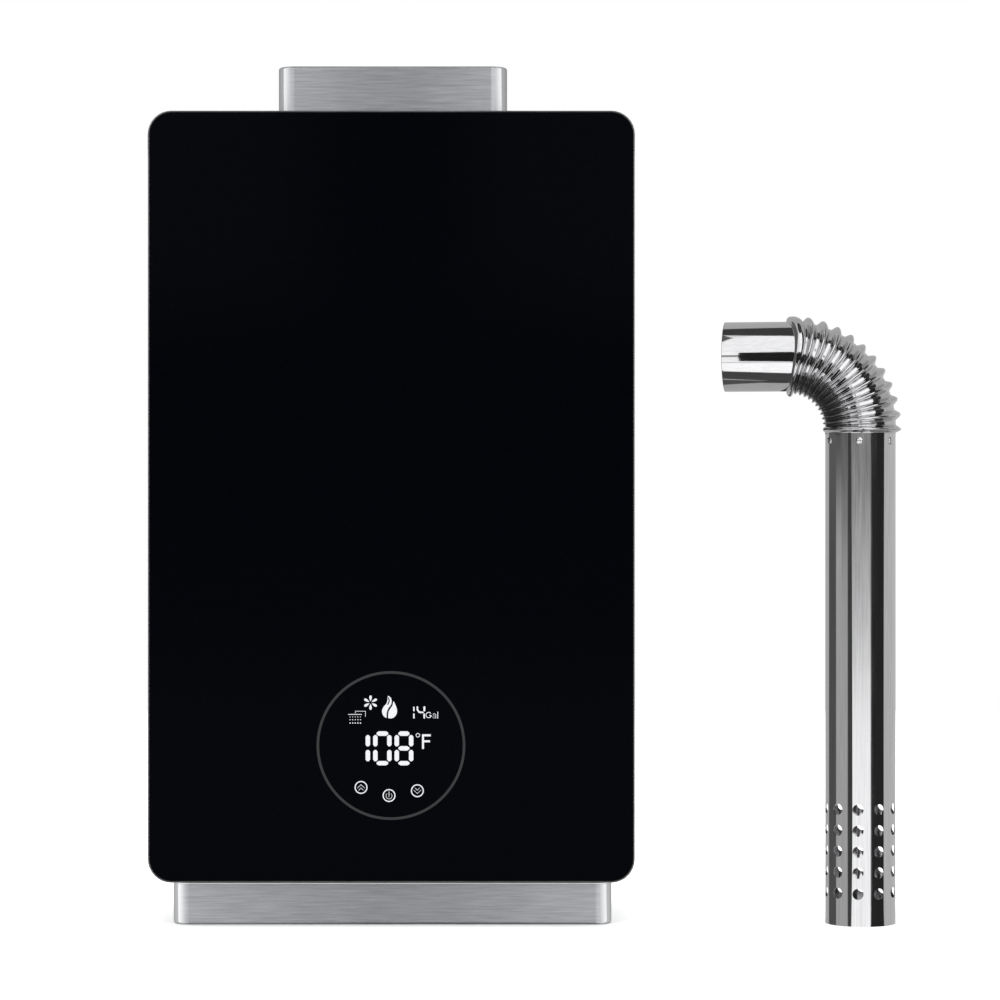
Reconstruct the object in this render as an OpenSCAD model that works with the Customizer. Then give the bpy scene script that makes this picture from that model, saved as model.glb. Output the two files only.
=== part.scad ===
// Propane tankless water heater with a glass front and its loose flue pipe, in millimetres.
// X runs to the right, Y back to the wall and Z up. The origin is the centre of the base rim, on the floor.

/* [Front panel] */
// Width of the panel over its metal rim
panel_w = 351; // [336:1:390]
// Height of the panel over its metal rim
panel_h = 556; // [536:1:620]
// Corner radius of the panel
panel_r = 17; // [8:0.5:30]
// Depth of the panel from the glass face to the casing
panel_t = 18; // [16:0.5:24]
// Thickness of the front glass
glass_t = 4; // [3:0.5:5]
// Width of the metal rim seen around the glass
rim_w = 1.25; // [1:0.25:4]
// Distance of the rim behind the glass face
rim_set = 0.5; // [0.2:0.1:2]
// Width of the ledge that carries the glass
ledge_w = 18; // [10:1:30]
// Height of the panel's lower edge above the floor
panel_z = 32.5; // [28:0.5:40]
// Height of the display centre above the panel's lower edge
display_up = 98.5; // [70:0.5:160]
// Radius of the display board
board_r = 46; // [44:1:60]
// Depth of the display light box
light_box_d = 8; // [6:0.5:9]

/* [Casing] */
// Width of the casing and skirt
casing_w = 319; // [311:1:328]
// Depth from the glass face to the wall
body_d = 150; // [146:1:166]
// Sheet thickness of the casing and chassis
sheet_t = 1.2; // [0.8:0.1:1.5]
// Radius of the casing's upright front edges
casing_edge_r = 12; // [6:0.5:16]
// Height of the skirt
skirt_h = 32; // [27:0.5:32]
// Radius of the skirt's lower edge
skirt_edge_r = 2; // [1.5:0.25:5]
// Width of the rim that the skirt stands on
skirt_lip = 9; // [6:0.5:11]
// Distance of the casing roof below the panel's top edge
roof_drop = 8; // [5:0.5:12]
// Number of louvres on each side
louvre_count = 9; // [1:1:12]
// Length of a louvre
louvre_l = 52; // [20:1:70]
// Height of a louvre
louvre_h = 4; // [2:0.5:6]
// Distance between louvres
louvre_pitch = 12; // [8:0.5:16]
// Spacing of the wall bolts across
bolt_dx = 200; // [170:1:210]
// Spacing of the wall bolts up and down
bolt_dz = 440; // [400:1:450]
// Radius of a wall bolt hole
bolt_r = 4.5; // [3:0.25:6]
// Radius of a cover screw
screw_r = 2; // [1.5:0.25:2.5]

/* [Flue cowl and outlet] */
// Width of the flue cowl
cowl_w = 167; // [130:1:200]
// Depth of the flue cowl
cowl_d = 104; // [100:1:112]
// Height of the flue cowl
cowl_h = 43.5; // [36:0.5:60]
// Radius of the cowl's upright edges
cowl_edge_r = 12; // [5:0.5:16]
// Radius of the cowl's top edge
cowl_top_r = 1.75; // [1.5:0.25:5]
// Distance of the cowl behind the casing front
cowl_set = 9; // [6:0.5:12]
// Outer diameter of the flue pipe
flue_d = 51; // [48:0.5:52]
// Wall of the flue pipe
flue_wall = 0.6; // [0.5:0.1:0.8]
// Gap between the flue pipe and its socket
flue_fit = 0.3; // [0.1:0.05:0.45]
// Height of the seal ring on the socket
seal_h = 5; // [3:0.5:7]

/* [Loose flue pipe] */
// Distance of the upright leg from the heater's centre
flue_x = 341; // [310:1:400]
// Distance of the upright leg behind the heater's middle
flue_y = -45; // [-60:1:40]
// Turn of the short leg away from the front
flue_yaw = 10; // [0:1:45]
// Length of the upright leg
flue_long = 361; // [300:1:420]
// Length of the short leg
flue_short = 47; // [40:1:60]
// Bend radius of the elbow
flue_bend = 52; // [46:0.5:70]
// Number of ribs on the elbow
rib_count = 12; // [8:1:14]
// Height of a rib
rib_h = 4; // [2:0.25:4.5]
// Rows of vent holes
vent_rows = 5; // [1:1:8]
// Vent holes in a row
vent_columns = 10; // [6:1:12]
// Diameter of a vent hole
vent_d = 8; // [4:0.5:10]
// Distance between the rows of vent holes
vent_pitch = 15.2; // [12:0.1:20]
// Height of the lowest row
vent_up = 23.5; // [15:0.5:40]

/* [Combustion chamber] */
// Space between the chamber and the casing's sides
side_aisle = 64.5; // [60:0.5:66]
// Space between the chamber and the back plate
back_aisle = 15.8; // [14.5:0.1:18]
// Space between the chamber and the casing front
front_aisle = 29.8; // [28:0.1:33]
// Height of the valve bay under the burner
bay_h = 137; // [132:1:145]
// Height of the burner box
burner_h = 54; // [50:1:60]
// Number of burner bars
bar_count = 9; // [5:1:10]
// Width of a burner bar
bar_w = 9; // [8:0.5:11]
// Height of a burner bar
bar_h = 42; // [36:1:46]
// Number of exchanger fins
fin_count = 17; // [8:1:24]
// Height of an exchanger fin
fin_h = 50; // [30:1:60]
// Height of the fume hood
hood_h = 34; // [28:1:40]
// Distance of the exchanger tubes below the hood
pass_drop = 36; // [33:1:42]

/* [Fan] */
// Outer radius of the fan housing
fan_r = 58; // [54:0.5:60]
// Space between the fan housing and the roof
fan_headroom = 14; // [8:1:18]
// Half width of the fan's outlet duct
duct_half = 29; // [28:0.5:31]
// Radius of the fan wheel
wheel_r = 44; // [38:0.5:48]
// Number of fan blades
blade_count = 24; // [12:1:30]
// Radius of the fan shaft
shaft_r = 3; // [2:0.25:4]
// Radius of the fan motor
motor_r = 30; // [24:1:34]
// Length of the fan motor
motor_l = 26; // [20:0.5:26]

/* [Water and gas] */
// Diameter of the pipe threads
thread_d = 20.9; // [18:0.1:21]
// Free length of a pipe thread
thread_l = 22; // [14:0.5:23]
// Diameter of the water tube
tube_d = 12.7; // [10:0.1:12.7]
// Wall of the water tube
tube_wall = 0.8; // [0.5:0.1:1.2]
// Bend radius of the water tube
tube_bend = 12; // [9:0.5:12]
// Place of the gas inlet across
gas_x = -40; // [-44:1:-34]
// Place of the gas inlet, front to back
gas_y = -10; // [-14:1:-6]
// Radius of a gas valve plunger
plunger_r = 5.5; // [4:0.25:7]
// Lift of a gas valve plunger
plunger_lift = 3; // [1:0.5:4]
// Radius of the flow sensor
sensor_r = 17; // [15:0.5:19]
// Height of the flow sensor
sensor_h = 52; // [46:1:54]
// Distance from the cold inlet to the drain valve
drain_dx = 48; // [44:1:52]
// Radius of the drain stem
stem_r = 4; // [3:0.25:5]
// Radius of the drain knob
knob_r = 11; // [9:0.5:13]

/* [Fits] */
// Gap between sheets that slide or stand apart
slip = 0.4; // [0.3:0.05:0.6]
// Gap around a running shaft
run_fit = 0.05; // [0.02:0.01:0.09]
// Gap around a tube in its hole
tube_fit = 0.15; // [0.1:0.05:0.3]

/* [Hidden] */
$fn = 48;
arc_steps = 8;
glass_y = -body_d / 2;
casing_y = glass_y + panel_t;
casing_in_y = casing_y + sheet_t;
wall_y = body_d / 2;
plate_y = wall_y - sheet_t;
inner_half = casing_w / 2 - sheet_t - slip;
deck_z = skirt_h + sheet_t;
casing_z = deck_z + slip;
panel_top = panel_z + panel_h;
panel_mid = panel_z + panel_h / 2;
roof_z = panel_top - roof_drop;
ceiling_z = roof_z - sheet_t;
flange_w = 12;
screw_y = plate_y - flange_w / 2;
screw_up = 50;
screw_zs = [casing_z + screw_up, roof_z - screw_up];
louvre_z = casing_z + 90;
louvre_y = 20;
bolt_z = deck_z + 65;

glass_back = glass_y + glass_t;
display_z = panel_z + display_up;
board_t = 1.6;
board_y = glass_back + light_box_d;
key_spots = [[-21.5, -30], [-1.4, -35.8], [18.8, -32.4]];

chamber_w = casing_w - 2 * side_aisle;
chamber_y0 = casing_in_y + front_aisle;
chamber_y1 = plate_y - back_aisle;
chamber_d = chamber_y1 - chamber_y0;
chamber_mid = (chamber_y0 + chamber_y1) / 2;
chamber_wall = 1;
burner_z = deck_z + bay_h;
shell_z = burner_z + burner_h;
fan_z = ceiling_z - fan_headroom - fan_r;
fan_x = duct_half + 1 - fan_r;
fan_y0 = chamber_y0 + 1;
fan_y1 = chamber_y1 - 23;
fan_wall = 1;
duct_y = (fan_y0 + fan_y1) / 2;
eye_r = 30;
hood_top = fan_z - fan_r - slip;
hood_z = hood_top - hood_h;
pass_z = hood_z - pass_drop;
bar_pitch = (chamber_w - 2 * chamber_wall - bar_w - 4) / (bar_count - 1);
nozzle_z = burner_z + 13;
manifold_y = chamber_y0 - 12;
manifold_half = 6;
manifold_h = 14;
electrode_z = shell_z + 10;
electrode_xs = [-30, -14, 30];
insulator_r = 4;
pin_r = 1.2;

cowl_y = casing_y + cowl_set;
cowl_top = roof_z + cowl_h;
socket_r = flue_d / 2 + flue_fit;
socket_wall = 1.5;

tube_r = tube_d / 2;
tube_in = tube_r - tube_wall;
pass_count = 4;
pass_pitch = (chamber_d - 2 * tube_d - 1.6) / (pass_count - 1);
pass_bend = pass_pitch / 2 - 0.5;
pass_x = chamber_w / 2 + pass_bend + 5;
pass_end = chamber_w / 2 + 5;
pass_y = [for (i = [0:pass_count - 1]) chamber_mid + (i - (pass_count - 1) / 2) * pass_pitch];
coil_gap = tube_bend - (tube_bend - tube_r - slip) / sqrt(2);
coil_x = chamber_w / 2 + coil_gap;
coil_y0 = chamber_y0 - coil_gap;
coil_y1 = chamber_y1 + coil_gap;
coil_z = [shell_z + 30, shell_z + 75];
coil_step_x = 30;
rise_x = pass_end + tube_bend;
cold_x = coil_x - 2 * tube_bend - 2;
cold_y = chamber_y1 - 28;
hot_x = -(rise_x + tube_d + 3.3);
hot_y = pass_y[pass_count - 1];
cold_turn_z = burner_z - 22;
join_z = shell_z + 6;
fitting_up = 25;
fitting_z = deck_z + fitting_up;
socket_depth = 8;
thread_r = thread_d / 2;
neck_r = thread_r + 0.6;
nut_h = 6;
nut_z = skirt_h - nut_h;
thread_z = nut_z - thread_l;
hex_r = 16;
flange_t = 5;
fitting_bore = 6;
filter_r = fitting_bore - 0.1;
sensor_top = fitting_z + sensor_h;
rotor_r = sensor_r - 6;
rotor_room = rotor_r + 1;
axle_r = 1.2;

valve_y = casing_in_y + 8;
valve_w = 76;
valve_d = 70;
valve_z = deck_z + 37;
valve_top = valve_z + 48;
coil_r = 14;
coil_h = 38;
plunger_h = 20;
solenoid_dx = 18;
solenoid_y = gas_y + 15;
riser_r = 8;

drain_x = cold_x + drain_dx;
drain_z = deck_z + 18;
drain_r = 9;
drain_foot = deck_z - 14;
knob_z = 8;
knob_h = 10;

switch_x = 95;
switch_r = 26;
switch_y = plate_y - 11;
hose_r = 3.5;
nipple_r = 2.5;
hose_z = fan_z + 48;
hose_x = 52;
hose_bend = 8;

box_x = 42;
box_front = casing_in_y + 6;
box_d = 44;
box_z = deck_z + 10;
box_h = 105;
box_wall = 2;
gland_x = 22;
gland_y = 40;
gland_r = 9;

pipe_r = flue_d / 2;
neck_out = pipe_r - flue_wall - 0.1;
neck_h = 20;
rivet_r = 1.6;
rivet_count = 6;
rivet_turn = 262.5;
vent_turn = 260;

// Outlines and lofts
function corner(cx, cy, r, a0) =
  [for (i = [0:arc_steps]) [cx + r * cos(a0 + 90 * i / arc_steps), cy + r * sin(a0 + 90 * i / arc_steps)]];

function outline(w, y0, y1, front_r, back_r) = concat(
  corner(w / 2 - front_r, y0 + front_r, front_r, 270),
  corner(w / 2 - back_r, y1 - back_r, back_r, 0),
  corner(-w / 2 + back_r, y1 - back_r, back_r, 90),
  corner(-w / 2 + front_r, y0 + front_r, front_r, 180)
);

function round_rect(w, h, r, z) = outline(w, z - h / 2, z + h / 2, r, r);

function open_outline(w, y0, y1, r) = concat(
  corner(w / 2 - r, y0 + r, r, 270),
  [[w / 2, y1], [-w / 2, y1]],
  corner(-w / 2 + r, y0 + r, r, 180)
);

function inset_outline(w, y0, y1, front_r, back_r, inset) =
  outline(w - 2 * inset, y0 + inset, y1 - inset, max(front_r - inset, 0.3), max(back_r - inset, 0.3));

function inset_ring(w, y0, y1, front_r, back_r, p) =
  [for (q = inset_outline(w, y0, y1, front_r, back_r, p[0])) [q[0], q[1], p[1]]];

function flat(lists) = [for (l = lists) for (p = l) p];

function strip(j, next, n) = [for (k = [0:n - 1])
  [j * n + k, next * n + k, next * n + (k + 1) % n, j * n + (k + 1) % n]];

// A closed sheet section, given as inset and height, carried round an outline
module ring_loft(w, y0, y1, front_r, back_r, profile) {
  n = 4 * (arc_steps + 1);
  m = len(profile);
  points = flat([for (p = profile) inset_ring(w, y0, y1, front_r, back_r, p)]);
  polyhedron(points, flat([for (j = [0:m - 1]) strip(j, (j + 1) % m, n)]));
}

// A solid with a changing inset from bottom to top
module loft(w, y0, y1, r, profile) {
  n = 4 * (arc_steps + 1);
  m = len(profile);
  points = flat([for (p = profile) inset_ring(w, y0, y1, r, r, p)]);
  sides = flat([for (j = [0:m - 2]) strip(j, j + 1, n)]);
  bottom = [[for (k = [0:n - 1]) k]];
  top = [[for (k = [0:n - 1]) m * n - 1 - k]];
  polyhedron(points, concat(sides, bottom, top));
}

function round_over(r, top, steps) =
  [for (i = [0:steps]) [r * (1 - cos(90 * i / steps)), top - r + r * sin(90 * i / steps)]];

// Rods, tubes and bent tubes
module rod_x(x, y, z, l, r) {
  translate([x, y, z]) rotate([0, 90, 0]) cylinder(h = l, r = r);
}

module rod_y(x, y, z, l, r) {
  translate([x, y, z]) rotate([-90, 0, 0]) cylinder(h = l, r = r);
}

module rod_z(x, y, z, l, r) {
  translate([x, y, z]) cylinder(h = l, r = r);
}

module block(x0, x1, y0, y1, z0, z1) {
  translate([x0, y0, z0]) cube([x1 - x0, y1 - y0, z1 - z0]);
}

module slab_y(y, t) {
  translate([0, y + t, 0]) rotate([90, 0, 0]) linear_extrude(t) children();
}

module tube(h, r_out, r_in) {
  difference() {
    cylinder(h = h, r = r_out);
    translate([0, 0, -1]) cylinder(h = h + 2, r = r_in);
  }
}

function unit(v) = v / norm(v);

function beside(u) = abs(u[2]) > 0.5 ? [1, 0, 0] : [0, 0, 1];

module place(a, b, u, p) {
  multmatrix([
    [a[0], b[0], u[0], p[0]],
    [a[1], b[1], u[1], p[1]],
    [a[2], b[2], u[2], p[2]],
    [0, 0, 0, 1]
  ]) children();
}

function eighth(v) = round(v * 8) / 8;

// A tube through points that lie along the axes, with right-angle bends, set out to an eighth of a millimetre
module route(through, r_out, r_in, bend_r) {
  points = [for (p = through) [eighth(p[0]), eighth(p[1]), eighth(p[2])]];
  bend = eighth(bend_r);
  last = len(points) - 1;
  for (i = [0:last - 1]) {
    u = unit(points[i + 1] - points[i]);
    from = points[i] + (i == 0 ? 0 : bend) * u;
    to = points[i + 1] - (i == last - 1 ? 0 : bend) * u;
    place(beside(u), cross(u, beside(u)), u, from) tube(norm(to - from), r_out, r_in);
  }
  for (i = [1:last - 1]) {
    u = unit(points[i] - points[i - 1]);
    v = unit(points[i + 1] - points[i]);
    place(-v, u, cross(u, v), points[i] + bend * (v - u))
      rotate_extrude(angle = 90) translate([bend, 0]) difference() {
        circle(r_out);
        circle(r_in);
      }
  }
}

// Chassis
module skirt() {
  inner_r = skirt_edge_r - sheet_t;
  back_r = 3;
  outside = [for (i = [0:4]) let (a = 90 * i / 4)
    [skirt_edge_r * (1 - sin(a)), skirt_edge_r * (1 - cos(a))]];
  inside = [for (i = [4:-1:0]) let (a = 90 * i / 4)
    [skirt_edge_r - inner_r * sin(a), skirt_edge_r - inner_r * cos(a)]];
  color("silver") {
    ring_loft(casing_w, casing_y, plate_y, casing_edge_r, back_r,
      concat(outside, [[0, skirt_h], [sheet_t, skirt_h]], inside));
    linear_extrude(sheet_t) difference() {
      polygon(inset_outline(casing_w, casing_y, plate_y, casing_edge_r, back_r, skirt_edge_r));
      polygon(inset_outline(casing_w, casing_y, plate_y, casing_edge_r, back_r, skirt_lip));
    }
  }
}

module bottom_plate() {
  color("gainsboro") difference() {
    translate([0, 0, skirt_h]) linear_extrude(sheet_t)
      polygon(outline(casing_w - 2 * slip, casing_y + slip, plate_y, casing_edge_r - slip, 3));
    rod_z(gas_x, gas_y, skirt_h - 1, sheet_t + 2, neck_r + slip);
    rod_z(cold_x, cold_y, skirt_h - 1, sheet_t + 2, neck_r + slip);
    rod_z(hot_x, hot_y, skirt_h - 1, sheet_t + 2, neck_r + slip);
    rod_z(drain_x, cold_y, skirt_h - 1, sheet_t + 2, drain_r + slip);
    rod_z(gland_x, gland_y, skirt_h - 1, sheet_t + 2, gland_r + slip);
  }
}

module back_plate() {
  color("gainsboro") difference() {
    union() {
      block(-inner_half, inner_half, plate_y, wall_y, 0, roof_z);
      for (side = [-1, 1])
        block(
          min(side * inner_half, side * (inner_half - sheet_t)),
          max(side * inner_half, side * (inner_half - sheet_t)),
          plate_y - flange_w, plate_y, deck_z, ceiling_z - slip
        );
    }
    for (x = [-bolt_dx / 2, bolt_dx / 2])
      for (z = [bolt_z, bolt_z + bolt_dz])
        rod_y(x, plate_y - 1, z, sheet_t + 2, bolt_r);
    for (z = screw_zs)
      block(-inner_half - 1, inner_half + 1, plate_y - flange_w - 1, screw_y + screw_r + slip,
        z - screw_r - slip, z + screw_r + slip);
  }
}

module top_plate() {
  color("gainsboro") difference() {
    translate([0, 0, ceiling_z]) linear_extrude(sheet_t)
      polygon(open_outline(2 * inner_half, casing_in_y + slip, plate_y, casing_edge_r - sheet_t - slip));
    rod_z(0, duct_y, ceiling_z - 1, sheet_t + 2, socket_r);
  }
}

module exchanger_brackets() {
  bracket_z = pass_z - fin_h;
  bracket_h = 20;
  color("gainsboro") for (side = [0, 1]) mirror([side, 0, 0]) {
    block(chamber_w / 2, chamber_w / 2 + sheet_t, chamber_y1 - 30, plate_y, bracket_z, bracket_z + bracket_h);
    block(chamber_w / 2, chamber_w / 2 + 26, plate_y - sheet_t, plate_y, bracket_z, bracket_z + bracket_h);
  }
}

// Front cover
module front_casing() {
  color("silver") difference() {
    translate([0, 0, casing_z]) linear_extrude(roof_z - casing_z)
      polygon(open_outline(casing_w, casing_y, wall_y - slip, casing_edge_r));
    translate([0, 0, casing_z - 1]) linear_extrude(roof_z - casing_z + 2)
      polygon(open_outline(casing_w - 2 * sheet_t, casing_in_y, wall_y + 1, casing_edge_r - sheet_t));
    for (i = [0:louvre_count - 1])
      block(-casing_w, casing_w, louvre_y - louvre_l / 2, louvre_y + louvre_l / 2,
        louvre_z + i * louvre_pitch, louvre_z + i * louvre_pitch + louvre_h);
    for (z = screw_zs)
      rod_x(-casing_w, screw_y, z, 2 * casing_w, screw_r + tube_fit);
    rod_y(0, casing_y - 1, display_z, sheet_t + 2, 6);
  }
}

module cover_screws() {
  head_r = 2 * screw_r;
  shank = 9;
  color("dimgray") for (side = [0, 1]) mirror([side, 0, 0])
    for (z = screw_zs) {
      rod_x(casing_w / 2 - shank, screw_y, z, shank + 1, screw_r);
      rod_x(casing_w / 2, screw_y, z, 2.2, head_r);
    }
}

module bezel_frame() {
  color("silver") difference() {
    slab_y(glass_y + rim_set, panel_t - rim_set) polygon(round_rect(panel_w, panel_h, panel_r, panel_mid));
    slab_y(glass_y - 1, glass_t + 1)
      polygon(round_rect(panel_w - 2 * rim_w, panel_h - 2 * rim_w, panel_r - rim_w, panel_mid));
    slab_y(glass_y - 1, panel_t + 2)
      polygon(round_rect(panel_w - 2 * ledge_w, panel_h - 2 * ledge_w, 6, panel_mid));
  }
}

module glass_panel() {
  edge = rim_w + tube_fit;
  color([0.03, 0.03, 0.04]) slab_y(glass_y, glass_t)
    polygon(round_rect(panel_w - 2 * edge, panel_h - 2 * edge, panel_r - edge, panel_mid));
}

module display_light_box() {
  box_w = 68;
  low = -24;
  high = 36;
  cell_w = 14;
  color("white") difference() {
    block(-box_w / 2, box_w / 2, glass_back, board_y, display_z + low, display_z + high);
    for (x = [-12, 6, 24])
      block(x - cell_w / 2, x + cell_w / 2, glass_back - 1, board_y + 1, display_z - 18, display_z + 12);
    for (x = [-24, 0, 24])
      block(x - cell_w / 2, x + cell_w / 2, glass_back - 1, board_y + 1, display_z + 16, display_z + 32);
  }
}

module display_board() {
  color("darkgreen") rod_y(0, board_y, display_z, board_t, board_r);
}

module touch_springs() {
  color("gold") for (k = key_spots)
    translate([k[0], glass_back, display_z + k[1]]) rotate([-90, 0, 0]) tube(light_box_d, 4, 3.4);
}

// Flue path
module flue_cowl() {
  color("silver") difference() {
    loft(cowl_w, cowl_y, cowl_y + cowl_d, cowl_edge_r,
      concat([[0, roof_z]], round_over(cowl_top_r, cowl_top, 4)));
    loft(cowl_w - 2 * sheet_t, cowl_y + sheet_t, cowl_y + cowl_d - sheet_t, cowl_edge_r - sheet_t,
      concat([[0, roof_z - 1]], round_over(cowl_top_r - sheet_t, cowl_top - sheet_t, 4)));
    rod_z(0, duct_y, cowl_top - 5, 10, socket_r + socket_wall + slip);
  }
}

module flue_outlet() {
  color("silver") translate([0, duct_y, roof_z]) difference() {
    union() {
      cylinder(h = 2, r = socket_r + 10);
      cylinder(h = cowl_h - seal_h, r = socket_r + socket_wall);
    }
    translate([0, 0, -1]) cylinder(h = cowl_h, r = socket_r);
  }
}

module flue_seal() {
  color("dimgray") translate([0, duct_y, cowl_top - seal_h]) tube(seal_h, socket_r + socket_wall, socket_r);
}

module fume_hood() {
  w = chamber_wall;
  riser_x0 = fan_x - 50;
  riser_x1 = fan_x + 50;
  riser_back = chamber_y1 + 8;
  riser_top = fan_z + 42;
  color("gainsboro") difference() {
    union() {
      block(-chamber_w / 2, chamber_w / 2, chamber_y0, chamber_y1, hood_z, hood_top);
      block(riser_x0, riser_x1, fan_y1, riser_back, hood_z + 2, riser_top);
    }
    block(-chamber_w / 2 + w, chamber_w / 2 - w, chamber_y0 + w, chamber_y1 - w, hood_z - 1, hood_top - w);
    block(riser_x0 + w, riser_x1 - w, fan_y1 + w, riser_back - w, hood_z + 2 + w, riser_top - w);
    rod_y(fan_x, fan_y1 - 1, fan_z, w + 2, eye_r);
  }
}

module volute_shape(wall, top) {
  translate([fan_x, fan_z]) circle(fan_r - wall);
  translate([-duct_half + wall, fan_z]) square([2 * (duct_half - wall), top - fan_z]);
}

module fan_volute() {
  color("lightsteelblue") difference() {
    union() {
      slab_y(fan_y0, fan_y1 - fan_y0) volute_shape(0, ceiling_z);
      rod_x(duct_half - fan_wall, duct_y, hose_z, 11, nipple_r);
    }
    slab_y(fan_y0 + fan_wall, fan_y1 - fan_y0 - 2 * fan_wall) volute_shape(fan_wall, ceiling_z + 1);
    rod_y(fan_x, fan_y1 - 3, fan_z, 6, eye_r);
    rod_y(fan_x, fan_y0 - 3, fan_z, 6, 2 * shaft_r);
    rod_x(duct_half - 4, duct_y, hose_z, 16, nipple_r - 1);
  }
}

module fan_motor() {
  color("dimgray") difference() {
    union() {
      rod_y(fan_x, fan_y0 - motor_l, fan_z, motor_l, motor_r);
      rod_y(fan_x, fan_y0 - 2, fan_z, 2, motor_r + 7);
    }
    rod_y(fan_x, fan_y0 - motor_l + 3, fan_z, motor_l, shaft_r + run_fit);
    for (i = [0:2])
      rod_y(fan_x + (motor_r + 3.5) * cos(120 * i + 30), fan_y0 - 3, fan_z + (motor_r + 3.5) * sin(120 * i + 30),
        4, 1.8);
  }
}

module fan_shaft() {
  color("silver") rod_y(fan_x, fan_y0 - motor_l + 3.2, fan_z, motor_l + 22, shaft_r);
}

module fan_impeller() {
  disc_y = fan_y0 + 8;
  blade_y = fan_y1 - fan_y0 - 17;
  blade_d = 9;
  color("silver") translate([fan_x, disc_y, fan_z]) rotate([-90, 0, 0]) difference() {
    union() {
      cylinder(h = 1.5, r = wheel_r);
      cylinder(h = 14, r = 3 * shaft_r);
      translate([0, 0, blade_y]) tube(1.5, wheel_r, wheel_r - blade_d);
      for (i = [0:blade_count - 1])
        rotate([0, 0, 360 * i / blade_count]) translate([wheel_r - blade_d / 2 - 0.8, 0, 1]) rotate([0, 0, 30])
          translate([-blade_d / 2 + 1, -0.5, 0]) cube([blade_d - 2, 1, blade_y]);
    }
    translate([0, 0, -1]) cylinder(h = 20, r = shaft_r + 0.02);
  }
}

module pressure_switch() {
  color("ivory") {
    rod_y(switch_x, plate_y - 22, fan_z, 22, switch_r);
    rod_y(switch_x, plate_y - 13, fan_z, 4, switch_r + 2);
    rod_z(switch_x, switch_y, fan_z + switch_r - 2, 14, nipple_r);
  }
}

module pressure_hose() {
  color("dimgray") route([
    [switch_x, switch_y, fan_z + switch_r + 3], [switch_x, switch_y, hose_z],
    [hose_x, switch_y, hose_z], [hose_x, duct_y, hose_z], [duct_half + slip, duct_y, hose_z]
  ], hose_r, nipple_r + 0.1, hose_bend);
}

// Heat exchanger
module exchanger_shell() {
  w = chamber_wall;
  color("peru") difference() {
    block(-chamber_w / 2, chamber_w / 2, chamber_y0, chamber_y1, shell_z, hood_z);
    block(-chamber_w / 2 + w, chamber_w / 2 - w, chamber_y0 + w, chamber_y1 - w, shell_z - 1, hood_z + 1);
    for (y = pass_y)
      rod_x(-chamber_w, y, pass_z, 2 * chamber_w, tube_r + tube_fit);
    for (x = electrode_xs)
      rod_y(x, chamber_y0 - 1, electrode_z, w + 2, insulator_r + tube_fit);
  }
}

module exchanger_fins() {
  edge = chamber_wall + slip;
  fin_t = 0.8;
  pitch = (chamber_w - 2 * edge) / (fin_count + 1);
  color("peru") difference() {
    for (i = [1:fin_count])
      block(-chamber_w / 2 + edge + i * pitch - fin_t / 2, -chamber_w / 2 + edge + i * pitch + fin_t / 2,
        chamber_y0 + edge, chamber_y1 - edge, pass_z - fin_h / 2, pass_z + fin_h / 2);
    for (y = pass_y)
      rod_x(-chamber_w, y, pass_z, 2 * chamber_w, tube_r + tube_fit);
  }
}

module exchanger_tube() {
  color("chocolate") route([
    [-pass_end, pass_y[0], pass_z], [pass_x, pass_y[0], pass_z], [pass_x, pass_y[1], pass_z],
    [-pass_x, pass_y[1], pass_z], [-pass_x, pass_y[2], pass_z], [pass_x, pass_y[2], pass_z],
    [pass_x, pass_y[3], pass_z], [-pass_end, pass_y[3], pass_z]
  ], tube_r, tube_in, pass_bend);
}

module coil_tube() {
  color("chocolate") route([
    [coil_x, cold_y, join_z], [coil_x, cold_y, coil_z[0]], [coil_x, coil_y1, coil_z[0]],
    [-coil_x, coil_y1, coil_z[0]], [-coil_x, coil_y0, coil_z[0]], [coil_step_x, coil_y0, coil_z[0]],
    [coil_step_x, coil_y0, coil_z[1]], [coil_x, coil_y0, coil_z[1]], [coil_x, coil_y1, coil_z[1]],
    [-rise_x, coil_y1, coil_z[1]], [-rise_x, pass_y[0], coil_z[1]], [-rise_x, pass_y[0], pass_z],
    [-pass_end, pass_y[0], pass_z]
  ], tube_r, tube_in, tube_bend);
}

module overheat_cutoff() {
  x = 60;
  color("ivory") {
    rod_y(x, chamber_y0 - 6, pass_z, 6, 9);
    rod_y(x - 4, chamber_y0 - 12, pass_z, 8, 1.2);
    rod_y(x + 4, chamber_y0 - 12, pass_z, 8, 1.2);
  }
}

// Burner
module burner_box() {
  w = chamber_wall;
  color("gainsboro") difference() {
    block(-chamber_w / 2, chamber_w / 2, chamber_y0, chamber_y1, burner_z, shell_z);
    block(-chamber_w / 2 + w, chamber_w / 2 - w, chamber_y0 + w, chamber_y1 - w, burner_z + w, shell_z + 1);
    for (i = [0:bar_count - 1])
      rod_y((i - (bar_count - 1) / 2) * bar_pitch, chamber_y0 - 1, nozzle_z, w + 2, 4.5);
    for (i = [0:bar_count - 2])
      block((i - (bar_count - 2) / 2) * bar_pitch - 2, (i - (bar_count - 2) / 2) * bar_pitch + 2,
        chamber_y0 + 12, chamber_y1 - 12, burner_z - 1, burner_z + w + 1);
  }
}

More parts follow.
